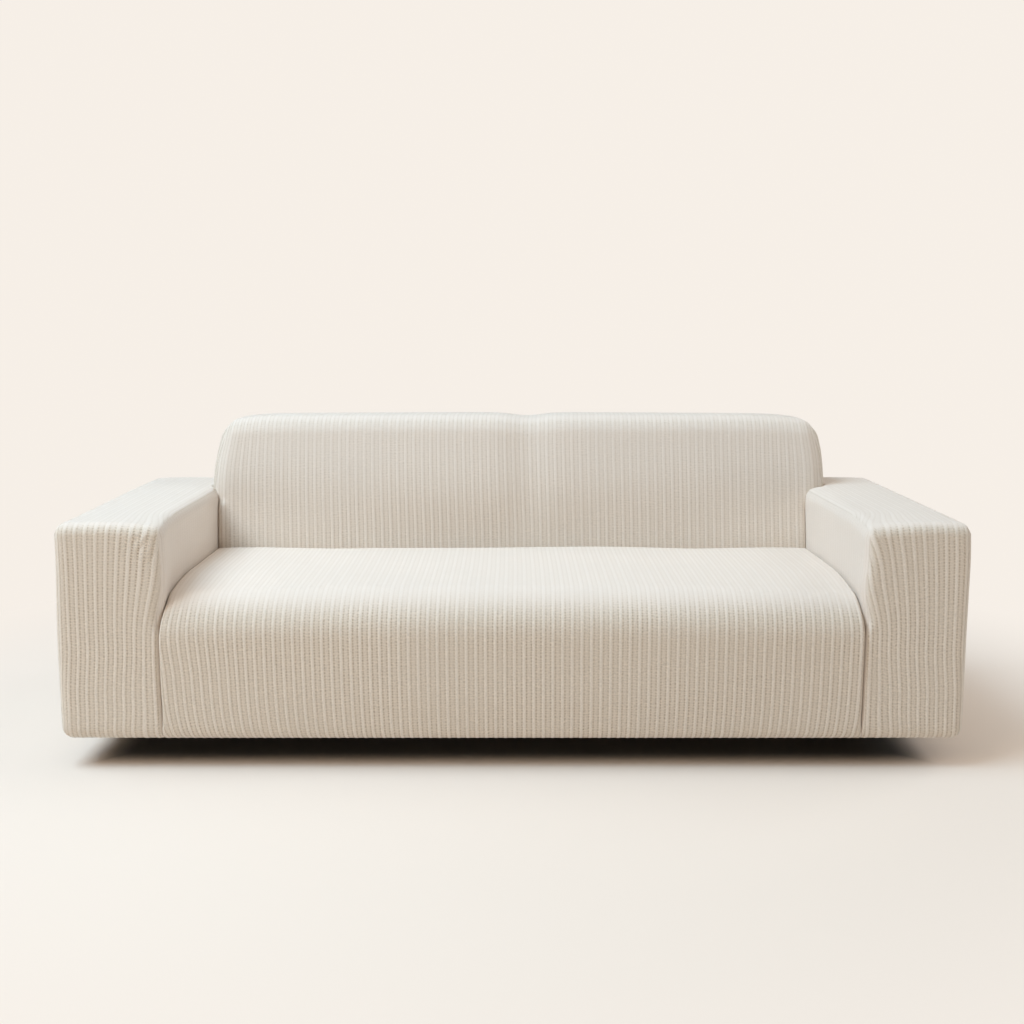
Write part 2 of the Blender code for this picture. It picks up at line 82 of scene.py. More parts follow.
seat_low, seat_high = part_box("seat_panel")
strip_low, strip_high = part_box("arm_strip_right")
outer_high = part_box("arm_outer_right")[1]
back_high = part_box("back_panel")[1]
end_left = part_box("back_end_left")[0].x
end_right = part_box("back_end_right")[1].x

FRONT = round(strip_low.y + SWAY, 3)
REAR = round(strip_high.y - SWAY, 3)
ARM_OUT = round(outer_high.x - SWAY, 3)
ARM_IN = round((seat_high.x - seat_low.x) / 2, 2)
ARM_WIDTH = ARM_OUT - ARM_IN
ARM_TOP = round(strip_high.z - ARM_CROWN - ARM_WAVE, 3)
SEAT_SIDE_TOP = round(seat_high.z - SEAT_CROWN, 3)
BACK_TOP = round(back_high.z - BULGE_LIFT, 3)
BACK_FACE = round(seat_high.y - SWAY, 3)
BACK_HALF_LENGTH = (end_right - end_left) / 2
BACK_SHIFT = (end_right + end_left) / 2
print("arms", ARM_IN, "to", ARM_OUT, "top", ARM_TOP, "seat", SEAT_SIDE_TOP, "back", BACK_TOP)

# %% Round edges, seams and the cloth
BACK_RAKE = 0.055
BACK_REAR_ROLL = 0.060
SEAT_FULLNESS = 2.4
SEAT_FRONT_FALL = 0.006
SEAT_PROUD = 0.011
ROLL = 0.030
BACK_ROLL = 0.060
BACK_FOOT_ROLL = 0.120
BACK_CRACK_ROLL = 0.010
SEAT_FRONT_ROLL = 0.095
SEAT_MIDDLE_ROLL = 0.105
SEAT_REAR_ROLL = 0.030
SEAT_SIDE_ROLL = 0.010
SEAT_REAR_SIDE_ROLL = 0.012
GROOVE_ROLL = 0.012
SEAT_GROOVE_ROLL = 0.006
HEM_GROOVE_ROLL = 0.004
VALLEY_ROLL = 0.008
CLOTH = 0.002
SEAM_GAP = 0.0002
MITRE_GAP = 0.0006
VALLEY_GAP = 0.0012
SEAT_GAP = 0.0030
TUCK = 0.010
DEEP_TUCK = 0.032
HEM_TURN = 0.025
CRACK_DEPTH = 0.030
END_TUCK = 0.030
GROOVE_START = 0.100
GROOVE_END = 0.022
HEM_GROOVE_LOW = 0.010
HEM_GROOVE_HIGH = 0.060
SEAM_ANGLE = math.radians(45)
SEAM_TILT = SEAM_ANGLE - SEAM_GAP / 2 / ROLL
SEAM_REACH = ROLL * math.sin(SEAM_TILT)
BACK_SEAM_TILT = SEAM_ANGLE - SEAM_GAP / 2 / BACK_ROLL
BACK_SEAM_REACH = BACK_ROLL * math.sin(BACK_SEAM_TILT)
RAKE_SLOPE = BACK_RAKE / (BACK_TOP - SEAT_SIDE_TOP)
# The hem's corners in an outline: along, up, radius and the steps of its arc
REAR_HEM = [(REAR - ROLL - HEM_TURN, 0.0, 0.0, 0), (REAR, 0.0, ROLL, 6)]
FRONT_HEM = [(FRONT, 0.0, ROLL, 6), (FRONT + ROLL + HEM_TURN, 0.0, 0.0, 0)]
print("seams", round(SEAM_REACH, 4), "past a round's start, back leans", round(RAKE_SLOPE, 3))

# %% [markdown]
# ## The camera and the floor
# The camera stands in front of the sofa at about eye height of a seated person and looks slightly
# down, so the tops of the seat and arms show. The floor is plain and flat, and lies a short leg's
# height below the hem.

# %% Camera
EYE_HEIGHT = 0.995
EYE_DISTANCE = 2.931
LOOKING_DOWN = math.radians(8.40)
LENS = 44.05

camera_data = bpy.data.cameras.new("camera")
camera_data.lens = LENS
camera_data.sensor_width = 36.0
camera = bpy.data.objects.new("camera", camera_data)
camera.location = (0.0, FRONT - EYE_DISTANCE, EYE_HEIGHT)
camera.rotation_euler = (math.radians(90) - LOOKING_DOWN, 0.0, 0.0)
bpy.context.collection.objects.link(camera)
bpy.context.scene.camera = camera
print("camera", [round(place, 3) for place in camera.location])

# %% Floor
LEG_HEIGHT = 0.072
FLOOR_HALF = 9.0

bpy.ops.object.select_all(action="DESELECT")
bpy.ops.mesh.primitive_plane_add(size=FLOOR_HALF * 2, location=(0.0, 0.0, -LEG_HEIGHT))
floor = bpy.context.object
floor.name = "floor"
print("floor at", floor.location.z)

# %% [markdown]
# ## Outlines
# Most pieces are a strip of cloth carried along the sofa: up the rear, over the top and down the
# front. Seen from the side, the strip is an outline of straight legs joined by round corners. One
# function walks such an outline and returns its points, the way each point faces, and how far
# along the cloth it lies. Rows are closer together where the cloth bends.

# %% Small helpers
ROW_STEP = 0.015


def smooth_step(value, low, high):
    """0 below low, 1 above high, and a soft S between them."""
    part = np.clip((value - low) / (high - low), 0.0, 1.0)
    return part * part * (3.0 - 2.0 * part)


def mix(first, second, share):
    return first + (second - first) * share


def round_drop(distance, radius):
    """How far a round edge has fallen at a distance past the start of its curve."""
    return radius - np.sqrt(np.maximum(radius ** 2 - distance ** 2, 0.0))


def even(steps):
    """Shares of a leg at even steps."""
    return [step / steps for step in range(1, steps + 1)]


def between(first, last, stretches):
    """Shares of the leg from first to last, in stretches that end at a place after some steps."""
    shares = []
    here = first
    for place, steps in stretches + [(last, None)]:
        count = steps or max(1, round(abs(last - here) / ROW_STEP))
        shares += [(first - mix(here, place, share)) / (first - last) for share in even(count)]
        here = place
    return shares


# %% Walk an outline


def route(corners, leg_shares):
    """Points, outward directions and lengths along straight legs that round corners join.

    A corner is (along, up, radius, steps of its arc). The legs are walked up at the rear, forwards
    over the top and down at the front, and leg_shares says where on each leg the points are.
    """
    places = [np.array(corner[:2]) for corner in corners]
    runs = [end - start for start, end in zip(places, places[1:])]
    headings = [math.atan2(run[1], run[0]) for run in runs]
    points, outward = [places[0]], [headings[0] - math.pi / 2]
    here = places[0]
    for number, shares in enumerate(leg_shares):
        last_leg = number == len(leg_shares) - 1
        radius, steps = (0.0, 0) if last_leg else corners[number + 1][2:]
        turn = 0.0 if last_leg else headings[number + 1] - headings[number]
        turn = (turn + math.pi) % (2 * math.pi) - math.pi
        unit = runs[number] / np.linalg.norm(runs[number])
        stop = places[number + 1] - unit * radius * abs(math.tan(turn / 2))
        facing = headings[number] - math.pi / 2
        for share in shares:
            points.append(mix(here, stop, share))
            outward.append(facing)
        here = stop
        side = math.copysign(1.0, turn)
        centre = stop - side * radius * np.array([math.cos(facing), math.sin(facing)])
        for step in range(1, steps + 1):
            angle = facing + turn * step / steps
            here = centre + side * radius * np.array([math.cos(angle), math.sin(angle)])
            points.append(here)
            outward.append(angle)
    normals = np.array([(math.cos(angle), math.sin(angle)) for angle in outward])
    return np.array(points), normals


# %% [markdown]
# ## How the sofa has settled
# Nothing about a used sofa is quite straight. Its back cushions bulge with a soft valley between
# them and lean back at the top. The seat swells at its front and rises beside the arms, and the arm
# pads are crowned. The stretched cloth rounds off the corners of the arms and the ends of the back:
# those pulls are listed as nudges, each with its centre, its reach and its push. All of this is one
# push for every place in space, and not one for each piece, so pieces stay together at a seam.

# %% Sizes of the pushes
BULGE_HALF_WIDTH = 0.84
BULGE_DEPTH = 0.014
VALLEY_ACROSS = 0.045
VALLEY_WIDTH = 0.058
VALLEY_DEPTH = 0.008
VALLEY_DIP = 0.009
TOP_LEAN = 0.014
SEAT_SWELL = 0.006
SEAT_SIDE_RISE = 0.016
# Where each push begins or ends softly: a first and a last place, up, along or across
FACE_UP = (SEAT_SIDE_TOP + 0.02, ARM_TOP)
FACE_ALONG = (BACK_FACE + 0.055, BACK_FACE + 0.175)
TOP_UP = (BACK_TOP - 0.14, BACK_TOP - 0.02)
LEAN_UP = (BACK_TOP - 0.20, BACK_TOP - 0.01)
LEAN_ALONG = (BACK_FACE + 0.10, REAR - 0.03)
ARM_UP = (ARM_TOP - 0.10, ARM_TOP - 0.02)
ARM_OVER = (ARM_TOP + 0.002, ARM_TOP + 0.042)
ARM_ACROSS = (ARM_IN, ARM_IN + 0.06)
SWELL_ALONG = (FRONT + 0.05, FRONT + 0.30)
SWELL_UP = (0.01, 0.12)
SWELL_OVER = (SEAT_SIDE_TOP - 0.06, SEAT_SIDE_TOP + 0.03)
RISE_ALONG = (FRONT + 0.06, FRONT + 0.30)
RISE_ACROSS = (0.45, ARM_IN)
RISE_UP = (0.27, 0.33)
RISE_OVER = (0.38, 0.46)
SWAY_FULL = (0.0, 0.40)
NUDGES = [
    ((ARM_IN, FRONT, ARM_TOP), (0.08, 0.12, 0.11), (-0.010, 0.0, -0.007)),
    ((-ARM_IN, FRONT, ARM_TOP), (0.08, 0.12, 0.07), (0.012, 0.0, -0.005)),
    ((-ARM_IN, FRONT, 0.400), (0.06, 0.10, 0.10), (0.020, 0.0, 0.0)),
    ((ARM_IN, FRONT, 0.375), (0.06, 0.10, 0.06), (-0.011, 0.0, 0.0)),
    ((-ARM_OUT, FRONT, 0.460), (0.06, 0.30, 0.16), (0.005, 0.0, 0.0)),
    ((ARM_OUT, FRONT, ARM_TOP), (0.06, 0.30, 0.06), (-0.004, 0.0, 0.0)),
    ((end_left, REAR, BACK_TOP), (0.10, 1.00, 0.11), (0.028, 0.0, -0.010)),
    ((end_right, REAR, BACK_TOP), (0.10, 1.00, 0.09), (-0.020, 0.0, -0.012)),
]
CROWN_TURN = 2.8
WAVE_ALONG = 4.0
SWAY_ALONG = 5.0
SWAY_ACROSS = 4.0
SWAY_UP = 6.0
print("nudges:", len(NUDGES))

# %% The push


def settle(place):
    """How the sofa, settled over the years, moves the cloth off the plain shape: a soft push at each
    place.
    """
    across, along, up = place[..., 0], place[..., 1], place[..., 2]
    from_middle = np.abs(across)
    push = np.zeros_like(place)
    middle = np.clip(1 - (across / BULGE_HALF_WIDTH) ** 2, 0.0, 1.0) ** 1.5
    valley = np.exp(-((across - VALLEY_ACROSS) / VALLEY_WIDTH) ** 2)
    on_face = smooth_step(up, *FACE_UP) * (1 - smooth_step(along, *FACE_ALONG))
    push[..., 1] -= on_face * (BULGE_DEPTH * middle - VALLEY_DEPTH * valley)
    on_top = smooth_step(up, *TOP_UP)
    push[..., 2] += on_top * (BULGE_LIFT * middle - VALLEY_DIP * valley)
    lean_back = smooth_step(up, *LEAN_UP) * (1 - smooth_step(along, *LEAN_ALONG))
    push[..., 1] += TOP_LEAN * lean_back
    over_arm = smooth_step(up, *ARM_UP) * (1 - smooth_step(up, *ARM_OVER))
    over_arm = over_arm * smooth_step(from_middle, *ARM_ACROSS)
    crown = np.cos((from_middle - ARM_IN - ARM_WIDTH / 2) * CROWN_TURN / ARM_WIDTH)
    push[..., 2] += over_arm * (ARM_CROWN * crown + ARM_WAVE * np.sin(along * WAVE_ALONG))
    for centre, reach, pull in NUDGES:
        away = (place - np.array(centre)) / np.array(reach)
        push += np.exp(-np.sum(away ** 2, axis=-1))[..., None] * np.array(pull)
    swell = (1 - smooth_step(along, *SWELL_ALONG)) * smooth_step(up, *SWELL_UP)
    swell = swell * (1 - smooth_step(up, *SWELL_OVER))
    push[..., 1] -= SEAT_SWELL * swell * middle
    rise = smooth_step(along, *RISE_ALONG) * smooth_step(from_middle, *RISE_ACROSS)
    rise = rise * smooth_step(up, *RISE_UP) * (1 - smooth_step(up, *RISE_OVER))
    push[..., 2] += SEAT_SIDE_RISE * rise
    sway = SWAY * smooth_step(up, *SWAY_FULL)
    push[..., 0] += sway * np.sin(along * SWAY_ALONG + up * SWAY_UP)
    push[..., 1] += sway * np.sin(across * SWAY_ACROSS + up * SWAY_UP)
    return push


# %% [markdown]
# ## The ribs
# The knit has narrow raised cords with wider, sunken bands between them, one pair every 23 mm. The
# cords are real relief, a millimetre high, because they show along every round edge and catch the
# light. A lower wale runs down the middle of each band. Each column of the grid runs along a rib,
# closer together over the cord, so a cord stays clean at any slant. Stretch pulls the ribs out of
# line: they fan in towards the inner top corner of each arm and gather in a little along the hem.
# Where people sit, lean and rest their arms, the cloth is drawn smoother and its ribs are fainter.
# At the left arm's corner it is gathered, so its ribs stand up.

# %% Rib relief
PITCH = 0.0231
BACK_PITCH = 0.0240
ARM_PITCH = 0.0223
RIB_HEIGHT = 0.0009
BAND_CROWN = 0.0003
CORD_TOP = 0.06
CORD_FOOT = 0.24
BAND_RISE = (0.26, 0.48)
RIB_STOPS = (-0.36, -0.24, -0.11, 0.0, 0.11, 0.24, 0.36, 0.5)
FEW_STOPS = (-0.24, -0.08, 0.08, 0.24, 0.5)
# How far each place is drawn smooth: its ribs are lower there, and the finish paints the same places
# paler and cooler, a painted light
WORN_AND_LIT_TOP = 0.76
WORN_AND_LIT_INSIDE = 0.72
WORN_AND_LIT_BACK_LOW = 0.26
WORN_AND_LIT_BACK_HIGH = 0.62
FACING_UP = (0.45, 0.95)
FACING_IN = (0.35, 0.90)
FACING_FRONT = (0.4, 0.9)
GATHER = 0.9
GATHER_PLACE = (-0.880, FRONT, 0.475)
GATHER_REACH = (0.030, 0.050, 0.045)


def rib_columns(low, high, pitch, cord=0.0, stops=RIB_STOPS):
    """Distances across the cloth for the grid's columns, with one cord centred at a given place."""
    first = math.floor((low - cord) / pitch) - 1
    last = math.ceil((high - cord) / pitch) + 1
    every = [cord + pitch * (rib + stop) for rib in range(first, last + 1) for stop in stops]
    inside = [place for place in every if low + 0.0008 < place < high - 0.0008]
    return np.array([low] + inside + [high])


def rib_relief(ribs):
    """Height of the knit over its ground, from the rib count, whose cords are at whole numbers."""
    away = np.abs(ribs - np.round(ribs))
    cord = 1 - smooth_step(away, CORD_TOP, CORD_FOOT)
    band = smooth_step(away, *BAND_RISE)
    return RIB_HEIGHT * cord + BAND_CROWN * band


def smoothed_and_lit(places, facing):
    """How far the cloth is drawn smooth where people sit, lean and rest their arms, from its place
    and the way it faces. The finish also paints these places paler and cooler, as painted light.
    """
    top = WORN_AND_LIT_TOP * smooth_step(facing[..., 2], *FACING_UP)
    inwards = -facing[..., 0] * np.sign(places[..., 0])
    inside_arm = WORN_AND_LIT_INSIDE * smooth_step(inwards, *FACING_IN)
    at_back = places[..., 1] > BACK_FACE - 0.03
    height = np.clip((places[..., 2] - SEAT_SIDE_TOP) / (BACK_TOP - SEAT_SIDE_TOP), 0.0, 1.0)
    worn_and_lit_back = mix(WORN_AND_LIT_BACK_LOW, WORN_AND_LIT_BACK_HIGH, height) * at_back
    lean = worn_and_lit_back * smooth_step(-facing[..., 1], *FACING_FRONT)
    return np.maximum(np.maximum(top, inside_arm), lean)


def gathered(places):
    """Where the cloth is drawn together at an arm's corner, so its ribs crowd and stand up, and its
    painted shade is stronger.
    """
    away = (places - np.array(GATHER_PLACE)) / np.array(GATHER_REACH)
    return GATHER * np.exp(-np.sum(away ** 2, axis=-1))


print("ribs on the seat:", round(2 * ARM_IN / PITCH))

# %% [markdown]
# ## From a flat grid to a fitted sheet
# A cloth simulation could drape the cover, but cloth that is stretched this tight has no free folds
# for it to find. So each piece starts as a flat grid, with its columns laid along the ribs, and its
# vertices are moved onto the form, pushed by the settling and lifted by the ribs. The pattern's
# coordinates are kept in the UV map: ribs across and metres along. Solidify then gives the cloth
# its thickness on the inside. Near a seam the ribs are pressed flat and the cloth dips a little, as
# it does where it is stitched.

# %% Measure a grid of cloth


def unit(vectors):
    return vectors / np.maximum(np.linalg.norm(vectors, axis=-1, keepdims=True), 1e-9)


def walked(places, axis):
    """How far along the cloth each place of a grid lies, down its rows (0) or across them (1)."""
    steps = np.linalg.norm(np.diff(places, axis=axis), axis=-1)
    return np.insert(np.cumsum(steps, axis=axis), 0, 0.0, axis=axis)


def surface_normals(places, hints):
    """Normals of a grid of places, on the side that the hints point to."""
    down = np.gradient(places, axis=0)
    side = np.gradient(places, axis=1)
    normals = unit(np.cross(side, down))
    turned = np.sum(normals * hints, axis=-1, keepdims=True) < 0
    return np.where(turned, -normals, normals)


def cloth_area(places):
    """Area of a grid of places, in square metres."""
    first = places[1:, 1:] - places[:-1, :-1]
    second = places[1:, :-1] - places[:-1, 1:]
    return float(np.linalg.norm(np.cross(first, second), axis=-1).sum() / 2)


# %% Make a piece of cloth
SEAM_PRESS = 0.008
SEAM_DIP = 0.0004
SEAM_WIDTH = 0.003
RIM_ANGLE = math.radians(60)
made = {}


def cloth_piece(name, places, normals, side, ribs, seams, flat_width, flat_length):
    """Move a flat grid onto a form. seams is each place's distance from the nearest sewn edge.

    side is -1 to mirror the piece, for the left.
    """
    mirror = np.array([side, 1, 1])
    places, normals = places * mirror, normals * mirror
    rows, columns = places.shape[:2]
    smooth = places + settle(places)
    facing = surface_normals(smooth, normals)
    pressed = smooth_step(seams, 0.0, SEAM_PRESS)
    wear_and_light = smoothed_and_lit(smooth, facing) - gathered(smooth)
    lift = rib_relief(ribs) * pressed * (1 - wear_and_light) - SEAM_DIP * np.exp(-(seams / SEAM_WIDTH) ** 2)
    shaped = smooth + facing * (lift + creases(smooth))[..., None]
    lengths = walked(smooth, 0)

    bpy.ops.object.select_all(action="DESELECT")
    bpy.ops.mesh.primitive_grid_add(x_subdivisions=columns - 1, y_subdivisions=rows - 1, size=1.0)
    piece = bpy.context.object
    piece.name = name
    mesh = piece.data
    mesh.name = name
    mesh.vertices.foreach_set("co", shaped.reshape(-1).astype(np.float32))
    corners = np.zeros(len(mesh.loops), dtype=np.int32)
    mesh.loops.foreach_get("vertex_index", corners)
    pattern = np.stack([ribs.reshape(-1)[corners], lengths.reshape(-1)[corners]], axis=-1)
    mesh.uv_layers.active.data.foreach_set("uv", pattern.reshape(-1).astype(np.float32))
    # The same share drives the painted light of the finish
    worn_and_lit = mesh.attributes.new("worn_and_lit", "FLOAT", "POINT")
    worn_and_lit.data.foreach_set("value", wear_and_light.reshape(-1).astype(np.float32))
    mesh.update()
    across_first = np.cross(shaped[0, 1] - shaped[0, 0], shaped[1, 0] - shaped[0, 0])
    if np.dot(across_first, facing[0, 0]) < 0:
        mesh.flip_normals()
    thickness = piece.modifiers.new("thickness", "SOLIDIFY")
    thickness.thickness = CLOTH
    thickness.offset = -1.0
    thickness.use_even_offset = False
    bpy.ops.object.modifier_apply(modifier=thickness.name)
    bpy.ops.object.shade_smooth_by_angle(angle=RIM_ANGLE)

    area = cloth_area(smooth)
    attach(piece, "root")
    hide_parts(name)
    made[name] = piece
    print(name, len(mesh.polygons) * 2, "triangles, flat", round(flat_width, 3), "x",
          round(flat_length, 3), "m, area", round(area, 3), "m2")
    return piece


# %% [markdown]
# ## Creases
# Where the cloth is drawn hard, it puckers. Each crease is a soft ridge or trough along a short
# line in space, listed by its ends, its half width and its height.

# %% Ridges and troughs
CREASES = [
    ((-0.912, FRONT, 0.470), (-0.884, FRONT, 0.508), 0.0050, -0.0016),
    ((-0.901, FRONT, 0.455), (-0.872, FRONT, 0.506), 0.0045, 0.0012),
    ((-0.889, FRONT, 0.462), (-0.862, FRONT, 0.504), 0.0045, -0.0018),
    ((-0.880, FRONT, 0.440), (-0.852, FRONT, 0.488), 0.0050, 0.0012),
    ((-0.872, FRONT, 0.424), (-0.846, FRONT, 0.470), 0.0050, -0.0014),
    ((0.900, FRONT, 0.500), (0.928, FRONT, 0.395), 0.008, -0.0014),
    ((0.914, FRONT, 0.505), (0.946, FRONT, 0.420), 0.007, 0.0010),
    ((-0.40, BACK_FACE, 0.372), (0.10, BACK_FACE, 0.372), 0.080, -0.0030),
    ((0.12, BACK_FACE, 0.372), (0.50, BACK_FACE, 0.370), 0.080, 0.0020),
]
print("creases:", len(CREASES))


def creases(places):
    """Height of the creases at each place, in metres."""
    height = np.zeros(places.shape[:-1])
    for start, end, half_width, rise in CREASES:
        start, run = np.array(start), np.array(end) - np.array(start)
        share = np.clip(((places - start) @ run) / (run @ run), 0.0, 1.0)
        away = np.linalg.norm(places - start - share[..., None] * run, axis=-1)
        taper = np.sin(math.pi * np.clip(share, 0.02, 0.98)) ** 0.7
        height += rise * taper * np.exp(-(away / half_width) ** 2)
    return height


# %% [markdown]
# ## Pieces that are carried along an outline
# The seat, the back and the arm strips are all made the same way. The middle of the strip is flat
# across, and each side edge rolls over a round of its own: into the crack beside an arm, half-way
# round an edge to the seam, or under the hem. How far each edge reaches changes from row to row, so
# the last ribs run out at the seam, as they do in cut cloth.

# %% Side edges


LEAST_ANGLE = 0.03
LEAST_TUCK = 0.0004
SQUEEZE = 0.040


def edge(place, radius, angle, tuck):
    """One side edge: where it ends, its roll, how far it turns and its straight tuck."""
    angle = np.maximum(angle - np.where(tuck < LEAST_TUCK, LEAST_TUCK / radius, 0.0), LEAST_ANGLE)
    tuck = np.maximum(tuck, LEAST_TUCK)
    start = place - radius * np.sin(angle) - tuck * np.cos(angle)
    reach = start + radius * angle + tuck
    return {"start": start, "radius": radius, "angle": angle, "tuck": tuck, "reach": reach}


def roll_over(distance, side):
    """How far out, how far down and how tilted the cloth is at a distance past the flat part."""
    radius, angle = side["radius"][:, None], side["angle"][:, None]
    past = np.maximum(distance - side["start"][:, None], 0.0)
    tilt = np.minimum(past / radius, angle)
    straight = np.maximum(past - radius * angle, 0.0)
    outwards = radius * np.sin(tilt) + straight * np.cos(angle)
    return outwards, radius * (1 - np.cos(tilt)) + straight * np.sin(angle), tilt


def squeeze(distance, limit, widest):
    """Distances kept as they are up to the last stretch before the limit, then closed up to it."""
    free = limit - SQUEEZE
    share = (distance - free) / np.maximum(widest - free, 1e-6)
    return np.where(distance > free, free + SQUEEZE * share, distance)


# %% Sweep


def sweep(name, outline_at, columns, left, right, lean, pitch, cord=0.0, side=1):
    """Carry an outline along X and roll both side edges. lean moves the ribs across, in metres."""
    outlines = [outline_at(float(place)) for place in columns]
    points = np.stack([points for points, outward in outlines], axis=1)
    outward = np.stack([outward for points, outward in outlines], axis=1)
    wanted = columns[None, :] + lean(columns[None, :], points[..., 0], points[..., 1])
    held = squeeze(wanted, right["reach"][:, None], wanted[:, -1:])
    held = -squeeze(-held, left["reach"][:, None], -held[:, :1])
    ribs = (columns[None, :] + held - wanted - cord) / pitch
    out_right, drop_right, tilt_right = roll_over(held, right)
    out_left, drop_left, tilt_left = roll_over(-held, left)
    flat = np.clip(held, -left["start"][:, None], right["start"][:, None])
    across = flat + out_right - out_left
    drop = drop_right + drop_left
    tilt = tilt_right - tilt_left
    places = np.concatenate([across[..., None], points - drop[..., None] * outward], axis=-1)
    normals = np.concatenate([np.sin(tilt)[..., None], np.cos(tilt)[..., None] * outward], axis=-1)
    seams = np.minimum(right["reach"][:, None] - held, held + left["reach"][:, None])
    width = float((right["reach"] + left["reach"]).max())
    length = float(walked(places, 0)[-1].max())
    return cloth_piece(name, places, normals, side, ribs, seams, width, length)


# %% [markdown]
# ## The seat
# The seat and its front drop are one piece. The outline starts in the crack behind the seat, runs
# forwards over the seat and falls in a wide round front to the hem, which is turned under. The seat
# is fuller in the middle than beside the arms, so its outline changes from column to column. Its
# sides roll down into the crack beside each arm.

# %% Seat panel
HEM_LEAN_LEFT = 0.022
HEM_LEAN_RIGHT = 0.015
HEM_LEAN_FADE = 0.050
CORNER_LEAN = 0.011
CORNER_LEAN_WIDTH = 0.23
CORNER_LEAN_TOP = 0.28
CORNER_LEAN_FADE = 0.13
SEAT_LEAN_ALONG = (FRONT + 0.02, FRONT + 0.10)
SEAT_CORD = 0.007
DEEP_TUCK_ALONG = (FRONT + 0.08, FRONT + 0.16)
SIDE_GAP_UP = (0.015, 0.050)
REAR_SIDE_ALONG = (BACK_FACE - 0.12, BACK_FACE)


def seat_outline(across):
    """Rear crack, seat, front edge and front drop, fuller in the middle than at the sides."""
    fullness = 1 - min(abs(across) / ARM_IN, 1.0) ** SEAT_FULLNESS
    top = SEAT_SIDE_TOP + SEAT_CROWN * fullness
    front_roll = mix(SEAT_FRONT_ROLL, SEAT_MIDDLE_ROLL, fullness)
    rear = BACK_FACE - SEAM_GAP / 2
    corners = [
        (rear, SEAT_SIDE_TOP - CRACK_DEPTH - TUCK, 0.0, 0),
        (rear, top, SEAT_REAR_ROLL, 6),
        (FRONT - SEAT_PROUD, top - SEAT_FRONT_FALL * fullness, front_roll, 14),
    ]
    return route(corners + FRONT_HEM, (even(2), even(28), even(17), even(1)))


def seat_lean(across, along, up):
    """The ribs gather towards the middle along the hem, more on the left than on the right."""
    share = np.clip(np.abs(across) / ARM_IN, 0.0, 1.0)
    gather = np.where(across < 0, HEM_LEAN_LEFT, -HEM_LEAN_RIGHT) * share ** 1.6
    on_front = 1 - smooth_step(along, *SEAT_LEAN_ALONG)
    slant = np.clip(1 - (across + ARM_IN) / CORNER_LEAN_WIDTH, 0.0, 1.0)
    slant = CORNER_LEAN * slant * smooth_step(CORNER_LEAN_TOP - up, 0.0, CORNER_LEAN_FADE)
    return (gather * np.exp(-np.maximum(up, 0.0) / HEM_LEAN_FADE) + slant) * on_front


points, outward = seat_outline(ARM_IN)
along, up = points[:, 0], points[:, 1]
at_rear = smooth_step(along, *REAR_SIDE_ALONG)
radius = mix(SEAT_SIDE_ROLL, SEAT_REAR_SIDE_ROLL, at_rear)
radius = mix(SEAT_GROOVE_ROLL, radius, smooth_step(up, SEAT_SIDE_TOP - 0.06, SEAT_SIDE_TOP))
radius = mix(HEM_GROOVE_ROLL, radius, smooth_step(up, HEM_GROOVE_LOW, HEM_GROOVE_HIGH))
rows = np.ones(len(points))
gap = mix(SEAM_GAP, SEAT_GAP, smooth_step(up, *SIDE_GAP_UP))
at_front = smooth_step(up, HEM_GROOVE_LOW, HEM_GROOVE_HIGH)
at_front = at_front * (1 - smooth_step(along, *DEEP_TUCK_ALONG))
seat_side = edge(ARM_IN - gap, radius, SEAM_ANGLE * 2 * rows, mix(TUCK, DEEP_TUCK, at_front))
seat_half = float(seat_side["reach"].max())
seat_columns = rib_columns(-seat_half, seat_half, PITCH, SEAT_CORD)
sweep("seat_panel", seat_outline, seat_columns, seat_side, seat_side, seat_lean, PITCH, SEAT_CORD)

# %% [markdown]
# ## The back
# The back is one long piece too: from the crack behind the seat up the raked inside back, over the
# top and down the outside to the rear hem. Between the arms its sides are tucked into the cracks.
# Above the arms it is wider, and rolls half-way round the end of the back to a seam.

# %% Back panel
BACK_LEAN = 0.030
BACK_LEAN_MIDDLE = 0.55
BACK_LEAN_REACH = 0.12
BACK_LEAN_ALONG = (BACK_FACE + 0.07, BACK_FACE + 0.14)
BACK_CORD = 0.008
JOIN_LOW = 0.060
JOIN_HIGH = 0.014


def back_outline(across):
    """Rear hem, outside back, top, raked inside back and the crack behind the seat."""
    face = BACK_FACE + SEAM_GAP / 2
    corners = REAR_HEM + [
        (REAR, BACK_TOP, BACK_REAR_ROLL, 12),
        (face + BACK_RAKE, BACK_TOP, BACK_ROLL, 12),
        (face, SEAT_SIDE_TOP - 0.01, BACK_FOOT_ROLL, 4),
        (face, SEAT_SIDE_TOP - CRACK_DEPTH - TUCK, 0.0, 0),
    ]
    low_arm = ARM_TOP - ROLL
    rear_leg = between(ROLL, BACK_TOP - BACK_ROLL, [(low_arm, 22), (ARM_TOP, 8)])
    face_high = BACK_TOP - BACK_ROLL * 1.1
    joins = [(ARM_TOP - JOIN_HIGH, 10), (ARM_TOP - JOIN_LOW, 8)]
    face_leg = between(face_high, SEAT_SIDE_TOP - 0.01, joins)
    return route(corners, (even(1), rear_leg, even(5), face_leg, even(2)))


def back_edge(points, shift):
    """One end of the back piece, moved outwards by the shift of the sofa's back."""
    along, up = points[:, 0], points[:, 1]
    end = BACK_HALF_LENGTH + shift - BACK_ROLL + BACK_SEAM_REACH
    rise = np.clip(up - (ARM_TOP - ROLL), 0.0, ROLL)
    rear_drop = np.where(up > ARM_TOP, ROLL, round_drop(rise, ROLL))
    rear_angle = np.arccos(np.clip(1 - rear_drop / BACK_ROLL, math.cos(BACK_SEAM_TILT), 1.0))
    inside = along < (BACK_FACE + REAR) / 2
    above = np.where(inside, smooth_step(up, ARM_TOP - JOIN_LOW, ARM_TOP - JOIN_HIGH), 1.0)
    place = mix(ARM_IN - SEAM_GAP, end, above)
    angle = np.where(inside, mix(SEAM_ANGLE * 2, BACK_SEAM_TILT, above), rear_angle)
    return edge(place, mix(BACK_CRACK_ROLL, BACK_ROLL, above), angle, mix(TUCK, 0.0, above))


